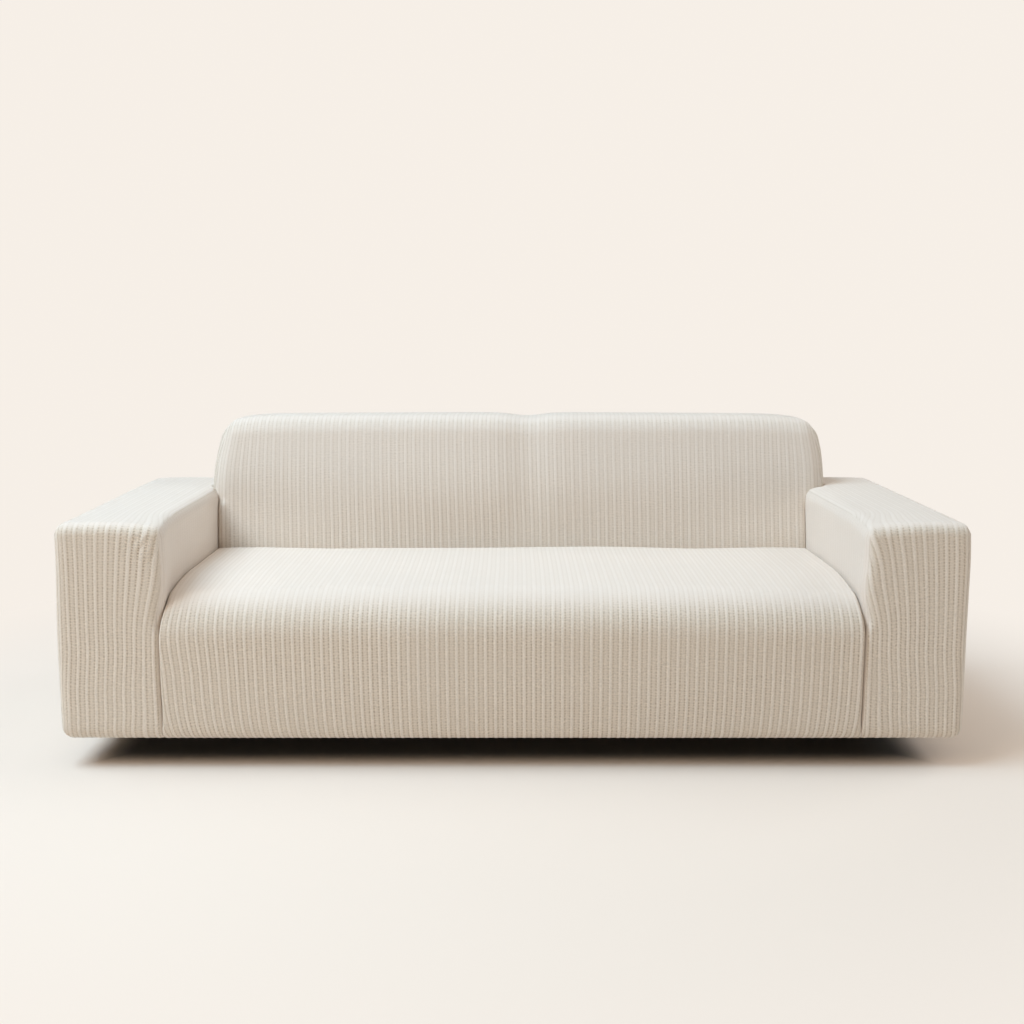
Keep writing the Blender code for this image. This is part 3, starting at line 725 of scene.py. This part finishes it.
def back_lean(across, along, up):
    """The ribs of the inside back drift a little to the right on their way down."""
    inside = 1 - smooth_step(along, *BACK_LEAN_ALONG)
    below = np.clip(BACK_LEAN_MIDDLE - up, -BACK_LEAN_REACH, BACK_LEAN_REACH)
    return BACK_LEAN * below * (1 - np.abs(across) / ARM_IN) * inside


points, outward = back_outline(0.0)
back_left = back_edge(points, -BACK_SHIFT)
back_right = back_edge(points, BACK_SHIFT)
back_columns = rib_columns(-float(back_left["reach"].max()), float(back_right["reach"].max()),
                           BACK_PITCH, BACK_CORD, FEW_STOPS)
sweep("back_panel", back_outline, back_columns, back_left, back_right, back_lean, BACK_PITCH,
      BACK_CORD)

# %% [markdown]
# ## The arms
# A strip runs over each arm from hem to hem. Its outer edge goes half-way round the arm's outer
# edge and is mitred under the hem. Its inner edge dips beside the seat, goes half-way round the
# inner edge above it, and on top makes way for the end of the back. The cloth is pulled towards the
# inner top corner, so the ribs of the arm front fan out upwards.

# %% Arm outline
FAN_LEFT = (0.125, 1.037)
FAN_RIGHT = (0.155, 1.100)
FAN_START = 0.26
FAN_HEIGHT = 0.23
FAN_ALONG = (FRONT + 0.02, FRONT + 0.22)
SPREAD = 0.009
SPREAD_TOP = 0.24
SPREAD_FADE = 0.14
SPREAD_ACROSS = (ARM_IN + 0.01, ARM_IN + 0.06)
TOE_SPREAD = 0.008
TOE_TOP = 0.09
ARM_CORD = 0.996
PUCKERED = 0.435


def arm_outline(across):
    """Rear hem, rear, arm top, arm front and front hem."""
    corners = REAR_HEM + [(REAR, ARM_TOP, ROLL, 12), (FRONT, ARM_TOP, ROLL, 12)] + FRONT_HEM
    face = face_place(ARM_TOP)
    round_rear = [(REAR - BACK_ROLL, 8), (face + BACK_ROLL, 4), (face, 18)]
    top_leg = between(REAR - ROLL, FRONT + ROLL, round_rear)
    beside_seat = [(SEAT_SIDE_TOP - GROOVE_END, 8), (SEAT_SIDE_TOP - GROOVE_START, 10)]
    front_leg = between(ARM_TOP - ROLL, ROLL, [(PUCKERED, 18)] + beside_seat)
    return route(corners, (even(1), even(16), top_leg, front_leg, even(1)))


def face_place(up):
    """How far back the raked inside back lies at a height."""
    return BACK_FACE + RAKE_SLOPE * np.maximum(up - SEAT_SIDE_TOP, 0.0)


# %% Arm edges


def hem_states(points, outward):
    """For each row, the cosine of its turn under the hem and its flat turn-in."""
    under = (outward[:, 1] < 0) & (points[:, 1] < ROLL)
    turn = np.where(under, -outward[:, 1], 0.0)
    inward = np.where(turn > 0.999, REAR - ROLL - np.abs(points[:, 0]), 0.0)
    return np.sqrt(np.maximum(1 - turn ** 2, 0.0)), np.maximum(inward, 0.0)


def mitred_edge(points, outward):
    """An arm's outer edge: half-way round the corner, closing to a mitre under the hem."""
    cosine, inward = hem_states(points, outward)
    angle = np.maximum(np.arctan(cosine) - SEAM_GAP / 2 / ROLL, LEAST_ANGLE)
    place = ARM_OUT - ROLL + ROLL * np.sin(angle) - inward - mix(MITRE_GAP, 0.0, cosine)
    return edge(place, np.full(len(points), ROLL), angle, np.zeros(len(points)))


def inner_edge(points, shift):
    """An arm strip's inner edge, from the groove beside the seat to the seam beside the back."""
    along, up = points[:, 0], points[:, 1]
    centre = BACK_HALF_LENGTH + shift - BACK_ROLL
    on_top = up > ARM_TOP - ROLL * 0.1
    above_seat = smooth_step(up, SEAT_SIDE_TOP - GROOVE_START, SEAT_SIDE_TOP - GROOVE_END)
    above_hem = smooth_step(up, HEM_GROOVE_LOW, HEM_GROOVE_HIGH)
    radius = mix(mix(HEM_GROOVE_ROLL, GROOVE_ROLL, above_hem), ROLL, above_seat)
    angle = mix(SEAM_ANGLE * 2, SEAM_TILT, above_seat)
    tuck = mix(TUCK, 0.0, above_seat)
    place = mix(ARM_IN, ARM_IN + ROLL - SEAM_REACH, above_seat)
    # On top it goes round the front corner of the back, along its end and round its rear corner
    face = face_place(ARM_TOP)
    ahead = np.clip(face + BACK_ROLL - along, 0.0, BACK_ROLL)
    behind = np.clip(along - (REAR - BACK_ROLL), 0.0, BACK_SEAM_REACH)
    plan = centre + np.sqrt(np.maximum(BACK_ROLL ** 2 - np.maximum(ahead, behind) ** 2, 0.0))
    beside_back = smooth_step(along, face + 0.002, face + 0.024) * on_top
    beside_back = beside_back * (1 - 0.6 * smooth_step(along, REAR - 0.06, REAR - 0.03))
    radius = mix(radius, VALLEY_ROLL, beside_back)
    angle = mix(angle, SEAM_ANGLE * 2, beside_back)
    tuck = mix(tuck, TUCK, beside_back)
    place = np.where(along > face, np.maximum(place, plan + SEAM_GAP + VALLEY_GAP * on_top), place)
    # Behind it lies flat beside the outside back
    rear = (along > REAR - ROLL * 1.01) & ~on_top
    place = np.where(rear, centre + BACK_SEAM_REACH + SEAM_GAP, place)
    angle = np.where(rear, 0.0, angle)
    tuck = np.where(rear, 0.0, tuck)
    return edge(-place, radius, angle, tuck)


# %% Arm strips


def arm_lean(side):
    """How the ribs of an arm's front fan inwards going up and spread outwards going down."""
    strength, zero = FAN_LEFT if side < 0 else FAN_RIGHT

    def lean(across, along, up):
        rise = np.clip((up - FAN_START) / FAN_HEIGHT, 0.0, 1.1) ** 1.5
        on_front = 1 - smooth_step(along, *FAN_ALONG)
        fan = strength * np.maximum(zero - across, -0.03) * rise * on_front
        spread = SPREAD * smooth_step(SPREAD_TOP - up, 0.0, SPREAD_FADE)
        inner_share = np.clip((ARM_OUT - across) / ARM_WIDTH, 0.0, 1.0)
        toe = TOE_SPREAD * inner_share * smooth_step(TOE_TOP - up, 0.0, TOE_TOP)
        edges = smooth_step(across, *SPREAD_ACROSS)
        return -fan + (spread + toe) * edges * (along < 0)

    return lean


for side, name in ((1, "arm_strip_right"), (-1, "arm_strip_left")):
    points, outward = arm_outline(0.0)
    inner = inner_edge(points, BACK_SHIFT * side)
    outer = mitred_edge(points, outward)
    columns = rib_columns(-float(inner["reach"].max()), float(outer["reach"].max()),
                          ARM_PITCH, ARM_CORD)
    sweep(name, arm_outline, columns, inner, outer, arm_lean(side), ARM_PITCH, ARM_CORD, side)

# %% [markdown]
# ## The upright sides
# The inner and outer sides of the arms and the ends of the back are nearly flat panels. Only their
# rims turn round the sofa's edges to the seams. A panel is given by the line of its top and bottom
# edges and the outline of its flat part: past that outline it falls away in a round. The ribs run
# straight up, so each column keeps its place along the panel.

# %% Upright panels
SIDE_PITCH = 0.0231
CORNER_STEPS = 12


def lean_from(outline, spots):
    """From the outline of a side's flat part to each spot beyond it, and zero inside it."""
    beyond = np.full(spots.shape[:-1], -np.inf)
    nearest = np.full(spots.shape[:-1], np.inf)
    lean = np.zeros_like(spots)
    for start, end in zip(outline, outline[1:]):
        run = end - start
        normal = np.array([-run[1], run[0]]) / np.linalg.norm(run)
        beyond = np.maximum(beyond, (spots - start) @ normal)
        share = np.clip((spots - start) @ run / (run @ run), 0.0, 1.0)
        away = spots - start - share[..., None] * run
        distance = np.linalg.norm(away, axis=-1)
        lean = np.where((distance < nearest)[..., None], away, lean)
        nearest = np.minimum(nearest, distance)
    return np.where((beyond > 0)[..., None], lean, 0.0)


def panel(tops, bottoms, rows, plane, facing, outline, roll):
    """An upright side between top and bottom points (along, up), rolled near its round edges."""
    share = np.linspace(0.0, 1.0, rows + 1)[:, None, None]
    spots = mix(bottoms[None], tops[None], share)
    lean = lean_from(outline, spots)
    distance = np.linalg.norm(lean, axis=-1)
    across = plane - facing * round_drop(distance, roll)
    places = np.concatenate([across[..., None], spots], axis=-1)
    flat_share = np.sqrt(np.maximum(roll ** 2 - distance ** 2, 0.0))[..., None]
    normals = np.concatenate([facing * flat_share, lean], axis=-1) / roll
    return places, normals


def corner_points(centre, reach, first, last):
    """Points round a corner of a seam, at the same angles as the piece that meets it."""
    angles = np.linspace(first, last, CORNER_STEPS + 1)
    return centre + reach * np.column_stack([np.cos(angles), np.sin(angles)])


def top_edge(front_corner, rear_place, reach, first):
    """The upper edge of a panel: round its front corner, then level and in step with the ribs."""
    curve = corner_points(front_corner, reach, first, math.pi / 2)
    level = rib_columns(front_corner[0], rear_place, SIDE_PITCH)[1:]
    height = np.full(len(level), front_corner[1] + reach)
    return np.vstack([curve, np.column_stack([level, height])])


def panel_piece(name, places, normals, side, sewn):
    """Finish a panel: count its ribs and measure how far each place is from a seam."""
    ribs = places[..., 1] / SIDE_PITCH
    from_foot, from_side = walked(places, 0), walked(places, 1)
    seams = from_foot[-1] - from_foot
    if "front" in sewn:
        seams = np.minimum(seams, from_side)
    if "rear" in sewn:
        seams = np.minimum(seams, from_side[:, -1:] - from_side)
    width = float(from_side[:, -1].max())
    length = float(from_foot[-1].max())
    return cloth_piece(name, places, normals, side, ribs, seams, width, length)


# %% [markdown]
# ## Inner sides of the arms
# Each runs from the crack beside the seat up to the strip's seam, which goes round the arm's inner
# front edge and along its inner top edge. Its lower edge follows the seat down at the front.

# %% Inner sides
FRONT_TUCK = 0.060
INNER_REAR_TUCK = 0.0215


def inner_side():
    """Inner side of the right arm."""
    corner = np.array([FRONT + ROLL, ARM_TOP - ROLL])
    rear_top = face_place(ARM_TOP - ROLL) + INNER_REAR_TUCK
    tops = top_edge(corner, rear_top, SEAM_REACH, math.pi)
    share = (tops[:, 0] - tops[0, 0]) / (tops[-1, 0] - tops[0, 0])
    along = mix(tops[0, 0], BACK_FACE + TUCK, share)
    fall = np.clip(FRONT + SEAT_FRONT_ROLL - along, 0.0, SEAT_FRONT_ROLL)
    low = SEAT_SIDE_TOP - CRACK_DEPTH - round_drop(fall, SEAT_FRONT_ROLL)
    low = low - FRONT_TUCK * smooth_step(-along, -FRONT - 0.10, -FRONT - 0.02)
    outline = [corner * (1, 0), corner, np.array([REAR, corner[1]])]
    return panel(tops, np.column_stack([along, low]), 18, ARM_IN, -1.0, outline, ROLL)


for side, name in ((1, "arm_inner_right"), (-1, "arm_inner_left")):
    places, normals = inner_side()
    panel_piece(name, places, normals, side, ("front",))

# %% [markdown]
# ## Outer sides of the arms
# The outer side is the largest plain face of the cover. Its hem turns under the arm and is mitred
# at both corners against the hem of the strip.

# %% Outer sides
HEM_STEPS = 6


def outer_side():
    """Outer side of the right arm, with its hem turned under and mitred at both corners."""
    front = np.array([FRONT + ROLL, ARM_TOP - ROLL])
    rear = np.array([REAR - ROLL, ARM_TOP - ROLL])
    tops = np.vstack([top_edge(front, rear[0], SEAM_REACH, math.pi),
                      corner_points(rear, SEAM_REACH, math.pi / 2, 0.0)[1:]])
    bottoms = np.column_stack([tops[:, 0], np.full(len(tops), ROLL)])
    outline = [front * (1, 0), front, rear, rear * (1, 0)]
    places, normals = panel(tops, bottoms, 32, ARM_OUT, 1.0, outline, ROLL)
    held = np.clip(tops[:, 0], front[0], rear[0])
    lean = np.arcsin((tops[:, 0] - held) / ROLL) / SEAM_TILT
    hem_places, hem_normals = [], []
    for step in range(1, HEM_STEPS + 2):
        turn = math.radians(90) * min(step / HEM_STEPS, 1.0)
        inward = HEM_TURN if step > HEM_STEPS else 0.0
        cosine = math.cos(turn)
        slack = mix(MITRE_GAP, 0.0, cosine) + inward
        angle = lean * max(math.atan(cosine) - SEAM_GAP / 2 / ROLL, LEAST_ANGLE)
        along = held + ROLL * np.sin(angle) - slack * held / abs(front[0])
        across = ARM_OUT - ROLL + ROLL * np.cos(angle) * cosine - inward
        up = ROLL - ROLL * np.cos(angle) * math.sin(turn)
        hem_places.append(np.column_stack([across, along, up]))
        hem_normals.append(np.column_stack([np.cos(angle) * cosine, np.sin(angle),
                                            -np.cos(angle) * math.sin(turn)]))
    places = np.concatenate([np.array(hem_places)[::-1], places])
    return places, np.concatenate([np.array(hem_normals)[::-1], normals])


for side, name in ((1, "arm_outer_right"), (-1, "arm_outer_left")):
    places, normals = outer_side()
    panel_piece(name, places, normals, side, ("front", "rear"))

# %% [markdown]
# ## Ends of the back
# A small panel closes each end of the back above the arm. It is nearly all round edge: its rim
# curves to the back panel's seam, and its foot dips into the valley against the arm top.

# %% Back ends


def back_end(shift):
    """Right end of the back above the arm, down into the crack against the arm top."""
    rake = math.atan(BACK_RAKE / (BACK_TOP - SEAT_SIDE_TOP + 0.01))
    facing = np.array([-math.cos(rake), math.sin(rake)])
    points, outward = back_outline(0.0)
    front_corner = next(place - BACK_ROLL * out for place, out in zip(points, outward)
                        if np.allclose(out, facing, atol=0.002) and place[1] > ARM_TOP)
    rear_corner = np.array([REAR - BACK_ROLL, BACK_TOP - BACK_ROLL])
    tops = np.vstack([top_edge(front_corner, rear_corner[0], BACK_SEAM_REACH, math.pi - rake),
                      corner_points(rear_corner, BACK_SEAM_REACH, math.pi / 2, 0.0)[1:]])
    low = ARM_TOP - END_TUCK
    front_low = tops[0, 0] - facing[1] / -facing[0] * (tops[0, 1] - low)
    share = (tops[:, 0] - tops[0, 0]) / (tops[-1, 0] - tops[0, 0])
    along = mix(front_low, tops[-1, 0], share)
    bottoms = np.column_stack([along, np.full(len(tops), low)])
    front_foot = front_corner - BACK_TOP * np.array([facing[1], -facing[0]])
    outline = [front_foot, front_corner, rear_corner, rear_corner * (1, 0)]
    plane = BACK_HALF_LENGTH + shift
    return panel(tops, bottoms, 14, plane, 1.0, outline, BACK_ROLL)


for side, name in ((1, "back_end_right"), (-1, "back_end_left")):
    places, normals = back_end(BACK_SHIFT * side)
    panel_piece(name, places, normals, side, ("front", "rear"))

# %% [markdown]
# ## The knit
# The yarn is one colour all over. What looks like stripes is light and shade: the cords stand in the
# light and the bands lie lower, with a line of small pulled stitches along each side. The finish
# paints some of that light and shade itself, for hollows too small to model: the cords are painted
# lighter, and the bands, the grooves beside the cords and the stitches are painted darker. The
# pattern reads the UV map, so it follows the ribs wherever the stretch takes them. U counts ribs,
# with a cord at every whole number, and V is metres along the rib. Where the cloth is worn smooth,
# its painted marks are fainter, and the worn places, which face up, inwards or forwards, are painted
# paler and cooler: a painted light. Shader sums are written as plain Python with a small class that
# wraps a socket.

# %% A socket that does sums


class Socket:
    """One output of a node, or a plain number, that can be used in sums."""

    tree = None

    def __init__(self, value):
        self.value = value

    @classmethod
    def node(cls, kind, settings, inputs, output=0):
        """Add a node, set it, feed its inputs and return one of its outputs."""
        made_node = cls.tree.nodes.new(kind)
        for setting, value in settings.items():
            setattr(made_node, setting, value)
        for place, value in inputs.items():
            value = value.value if isinstance(value, Socket) else value
            if isinstance(value, bpy.types.NodeSocket):
                cls.tree.links.new(value, made_node.inputs[place])
            else:
                made_node.inputs[place].default_value = value
        return Socket(made_node.outputs[output])

    @classmethod
    def coordinate(cls, vector, axis):
        """One coordinate of a vector: 0 is X, 1 is Y and 2 is Z."""
        return cls.node("ShaderNodeSeparateXYZ", {}, {0: vector}, axis)

    @classmethod
    def noise(cls, place, scale):
        return cls.node("ShaderNodeTexNoise", {"noise_dimensions": "3D"},
                        {"Vector": place, "Scale": scale, "Detail": 2.0})

    @classmethod
    def math(cls, operation, *values):
        return cls.node("ShaderNodeMath", {"operation": operation}, dict(enumerate(values)))

    def __add__(self, other):
        return Socket.math("ADD", self, other)

    def __sub__(self, other):
        return Socket.math("SUBTRACT", self, other)

    def __rsub__(self, other):
        return Socket.math("SUBTRACT", other, self)

    def __mul__(self, other):
        return Socket.math("MULTIPLY", self, other)

    __radd__, __rmul__ = __add__, __mul__

    def soft_step(self, low, high):
        """0 below low, 1 above high, and a soft S between them."""
        return Socket.node("ShaderNodeMapRange", {"interpolation_type": "SMOOTHSTEP"},
                           {0: self, 1: low, 2: high, 3: 0.0, 4: 1.0})

    def stripe(self, start, end):
        """1 between two soft edges."""
        return self.soft_step(*start) - self.soft_step(*end)

    def sine(self):
        return Socket.math("SINE", self)

    def absolute(self):
        return Socket.math("ABSOLUTE", self)

    def fraction(self):
        return Socket.math("FRACT", self)


def blend(share, first, second):
    """A colour between two colours."""
    return Socket.node("ShaderNodeMix", {"data_type": "RGBA"}, {0: share, 6: first, 7: second}, 2)


# %% Colours and marks of the knit
# Painted light and shade of one yarn: the cords lighter, the bands, grooves and stitches darker
LIT_CORD_COLOUR = (0.80, 0.72, 0.63, 1.0)
SHADED_BAND_COLOUR = (0.74, 0.655, 0.56, 1.0)
GROOVE_SHADE_COLOUR = (0.68, 0.59, 0.49, 1.0)
STITCH_SHADE_COLOUR = (0.42, 0.31, 0.225, 1.0)
# Painted light: places drawn smooth are tinted from plain to paler and cooler
PLAIN_TINT = (1.0, 1.0, 1.0, 1.0)
PAINTED_LIGHT_TINT = (1.14, 1.15, 1.215, 1.0)
COURSE = 0.0024
STITCH_STEP = 0.00725
KNIT_FINISH = {"Roughness": 0.9, "Sheen Weight": 0.15, "Sheen Roughness": 0.5,
               "Sheen Tint": (1.0, 0.98, 0.95, 1.0), "Specular IOR Level": 0.2}
NOISE_SCALES = (7.0, 55.0, 330.0)
# Where each mark begins and ends beside a cord, in ribs from the cord's middle
CORD_SIDE = (0.10, 0.21)
GROOVE_SIDES = ((0.14, 0.23), (0.28, 0.40))
STITCH_SIDES = ((0.15, 0.21), (0.28, 0.34))
STITCH_BEAT = (-0.3, 0.8)
STITCH_PATCHES = (0.40, 0.62)
WALES = 9
STITCH_SHADE = 0.45
BROAD_SHADE = 0.06
FLECK_SHADE = 0.50
TICK_SHADE = 0.07
LOOP_SHADE = 0.02
CORD_BUMP = 0.3
LOOP_BUMP = 0.12
STITCH_BUMP = 0.5
TICK_BUMP = 0.25
FLECK_BUMP = 0.3
print("courses to the metre:", round(1 / COURSE), "ribs to the metre:", round(1 / PITCH))

# %% The knit's finish


def knit_material():
    """Raised cords and sunken bands of one yarn, with lines of pulled stitches between them."""
    material = bpy.data.materials.new("ribbed_knit")
    material.use_nodes = True
    Socket.tree = material.node_tree
    shader = material.node_tree.nodes["Principled BSDF"]
    pattern = Socket.node("ShaderNodeUVMap", {}, {})
    ribs, along = Socket.coordinate(pattern, 0), Socket.coordinate(pattern, 1)
    worn_and_lit = Socket.node("ShaderNodeAttribute", {"attribute_name": "worn_and_lit"}, {}, 2)
    # Where the cloth is drawn smooth, the painted light and shade of the ribs is fainter
    fresh_and_unlit = 1.0 - worn_and_lit
    # Yarn is never quite even: broad soft changes, small wobbles and a fine fleck
    spot = Socket.node("ShaderNodeTexCoord", {}, {}, 3)
    broad, wobble, fleck = [Socket.noise(spot, scale) for scale in NOISE_SCALES]
    away = ((ribs + 0.5).fraction() - 0.5).absolute()
    cord = 1.0 - away.soft_step(*CORD_SIDE)
    groove = away.stripe(*GROOVE_SIDES)
    # The pulled stitches sit where the cord meets the band, one for every few courses
    beat = (along * (2 * math.pi / STITCH_STEP) + wobble * 12.0).sine()
    stitch = away.stripe(*STITCH_SIDES) * beat.soft_step(*STITCH_BEAT)
    stitch = stitch * (0.55 + 0.8 * broad.soft_step(*STITCH_PATCHES))
    # Every course crosses the band as a small tick, and its loops lean this way and that
    ticks = beat * (1.0 - cord) * 0.5
    wales = (ribs * (2 * math.pi * WALES)).sine()
    courses = (along * (2 * math.pi / COURSE) + wales * 1.4).sine()
    loops = courses * (0.6 + 0.4 * wales)
    # Painted light and shade of the ribs and their stitches
    colour = blend(groove * fresh_and_unlit, blend(cord * fresh_and_unlit, SHADED_BAND_COLOUR, LIT_CORD_COLOUR), GROOVE_SHADE_COLOUR)
    colour = blend(stitch * fresh_and_unlit * STITCH_SHADE, colour, STITCH_SHADE_COLOUR)
    # The ticks and loops of each course lighten and darken the colour a little, as painted shade of
    # the loops; the flecks change it at random
    fleck_and_loop_shade = FLECK_SHADE * (fleck - 0.5) - TICK_SHADE * ticks + LOOP_SHADE * loops
    shade = 0.97 + BROAD_SHADE * broad + fresh_and_unlit * fleck_and_loop_shade
    colour = Socket.node("ShaderNodeVectorMath", {"operation": "SCALE"}, {0: colour, 3: shade})
    # Painted light: the places drawn smooth, which face up, inwards or forwards, are painted paler
    # and cooler
    painted_light_tint = blend(worn_and_lit, PLAIN_TINT, PAINTED_LIGHT_TINT)
    colour = Socket.node("ShaderNodeVectorMath", {"operation": "MULTIPLY"}, {0: colour, 1: painted_light_tint})
    height = CORD_BUMP * cord + LOOP_BUMP * loops - STITCH_BUMP * stitch
    height = height - TICK_BUMP * ticks + FLECK_BUMP * fleck
    bump = Socket.node("ShaderNodeBump", {},
                       {"Strength": 0.4, "Distance": 0.0010, "Height": height * fresh_and_unlit})
    links = material.node_tree.links
    links.new(colour.value, shader.inputs["Base Color"])
    links.new(bump.value, shader.inputs["Normal"])
    for place, value in KNIT_FINISH.items():
        shader.inputs[place].default_value = value
    return material


knit = knit_material()
for piece in made.values():
    piece.data.materials.clear()
    piece.data.materials.append(knit)
print("knit on", len(made), "pieces")

# %% [markdown]
# ## Floor finish and light
# The floor and the backdrop are one warm off-white. Near the sofa the floor is plain paper that
# takes its shadow, and under the sofa it is painted dark: a painted shadow, where the sofa's base
# would keep the light off. Far out it turns into the colour of the backdrop, so no horizon shows. A
# large cool light hangs high on the left, so the tops are bright. A smaller warm one, high in front
# on the left, warms the fronts, and a weak one at the right rear softens the shadows. The backdrop
# itself gives only a little light.

# %% Floor finish
BACKDROP = (0.925, 0.865, 0.800, 1.0)
FLOOR_COLOUR = (0.86, 0.755, 0.67, 1.0)
FADE_NEAR = 1.15
FADE_FAR = 2.3
# Painted shadow: the floor is painted dark under the sofa, over a box of this half length and half
# depth with soft edges
PAINTED_SHADOW_COLOUR = (0.20, 0.19, 0.18, 1.0)
PAINTED_SHADOW_LENGTH = 1.06
PAINTED_SHADOW_DEPTH = 0.42
PAINTED_SHADOW_EDGE = 0.10

paper = bpy.data.materials.new("paper")
paper.use_nodes = True
Socket.tree = paper.node_tree
paper_shader = paper.node_tree.nodes["Principled BSDF"]
paper_shader.inputs["Roughness"].default_value = 0.95
spot = Socket.node("ShaderNodeTexCoord", {}, {}, 3)
from_centre = Socket.node("ShaderNodeVectorMath", {"operation": "LENGTH"}, {0: spot}, 1)
aside, ahead = [Socket.coordinate(spot, axis).absolute() for axis in (0, 1)]
aside = aside.soft_step(PAINTED_SHADOW_LENGTH - PAINTED_SHADOW_EDGE, PAINTED_SHADOW_LENGTH)
ahead = ahead.soft_step(PAINTED_SHADOW_DEPTH - PAINTED_SHADOW_EDGE, PAINTED_SHADOW_DEPTH)
# The painted shadow under the sofa is blended into the paper's own colour
paper_and_painted_shadow = blend(Socket.math("MAXIMUM", aside, ahead), PAINTED_SHADOW_COLOUR, FLOOR_COLOUR)
paper.node_tree.links.new(paper_and_painted_shadow.value, paper_shader.inputs["Base Color"])
far = from_centre.soft_step(FADE_NEAR, FADE_FAR)
glow = Socket.node("ShaderNodeEmission", {}, {"Color": BACKDROP, "Strength": 1.0})
surface = Socket.node("ShaderNodeMixShader", {}, {0: far, 1: paper_shader.outputs[0], 2: glow})
paper_output = paper.node_tree.nodes["Material Output"]
paper.node_tree.links.new(surface.value, paper_output.inputs["Surface"])
floor.data.materials.append(paper)

# %% Light
CEILING = (0.62, 0.575, 0.515, 1.0)
SURROUND = (0.05, 0.05, 0.05, 1.0)

bpy.context.scene.view_settings.view_transform = "Standard"
world = bpy.data.worlds.new("studio")
bpy.context.scene.world = world
world.use_nodes = True
Socket.tree = world.node_tree
direction = Socket.node("ShaderNodeTexCoord", {}, {}, 0)
height = Socket.coordinate(direction, 2)
room = blend(height.soft_step(0.30, 0.85), SURROUND, CEILING)
seen = Socket.node("ShaderNodeLightPath", {}, {}, 0)
sky = world.node_tree.nodes["Background"]
world.node_tree.links.new(blend(seen, room, BACKDROP).value, sky.inputs["Color"])


def soft_light(name, place, target, size, power, colour):
    """A square soft light at a place, turned towards a target."""
    data = bpy.data.lights.new(name, "AREA")
    data.size = size
    data.energy = power
    data.color = colour
    lamp = bpy.data.objects.new(name, data)
    lamp.location = place
    heading = np.array(target) - np.array(place)
    turn = math.atan2(heading[1], heading[0])
    tilt = math.atan2(math.hypot(heading[0], heading[1]), -heading[2])
    lamp.rotation_euler = (tilt, 0.0, turn - math.radians(90))
    bpy.context.collection.objects.link(lamp)
    return lamp


soft_light("over", (-3.6, -1.4, 6.0), (0.0, 0.0, 0.2), 4.0, 398.0, (0.60, 0.82, 1.0))
soft_light("window", (-3.3, -4.1, 3.8), (-0.5, -0.4, 0.2), 2.5, 70.0, (1.0, 0.81, 0.62))
soft_light("fill", (5.0, 0.8, 3.5), (0.0, 0.0, 0.3), 4.0, 85.0, (0.90, 0.96, 1.0))

# %% Sizes and finish
print("triangles:", sum(len(piece.data.polygons) * 2 for piece in made.values()))
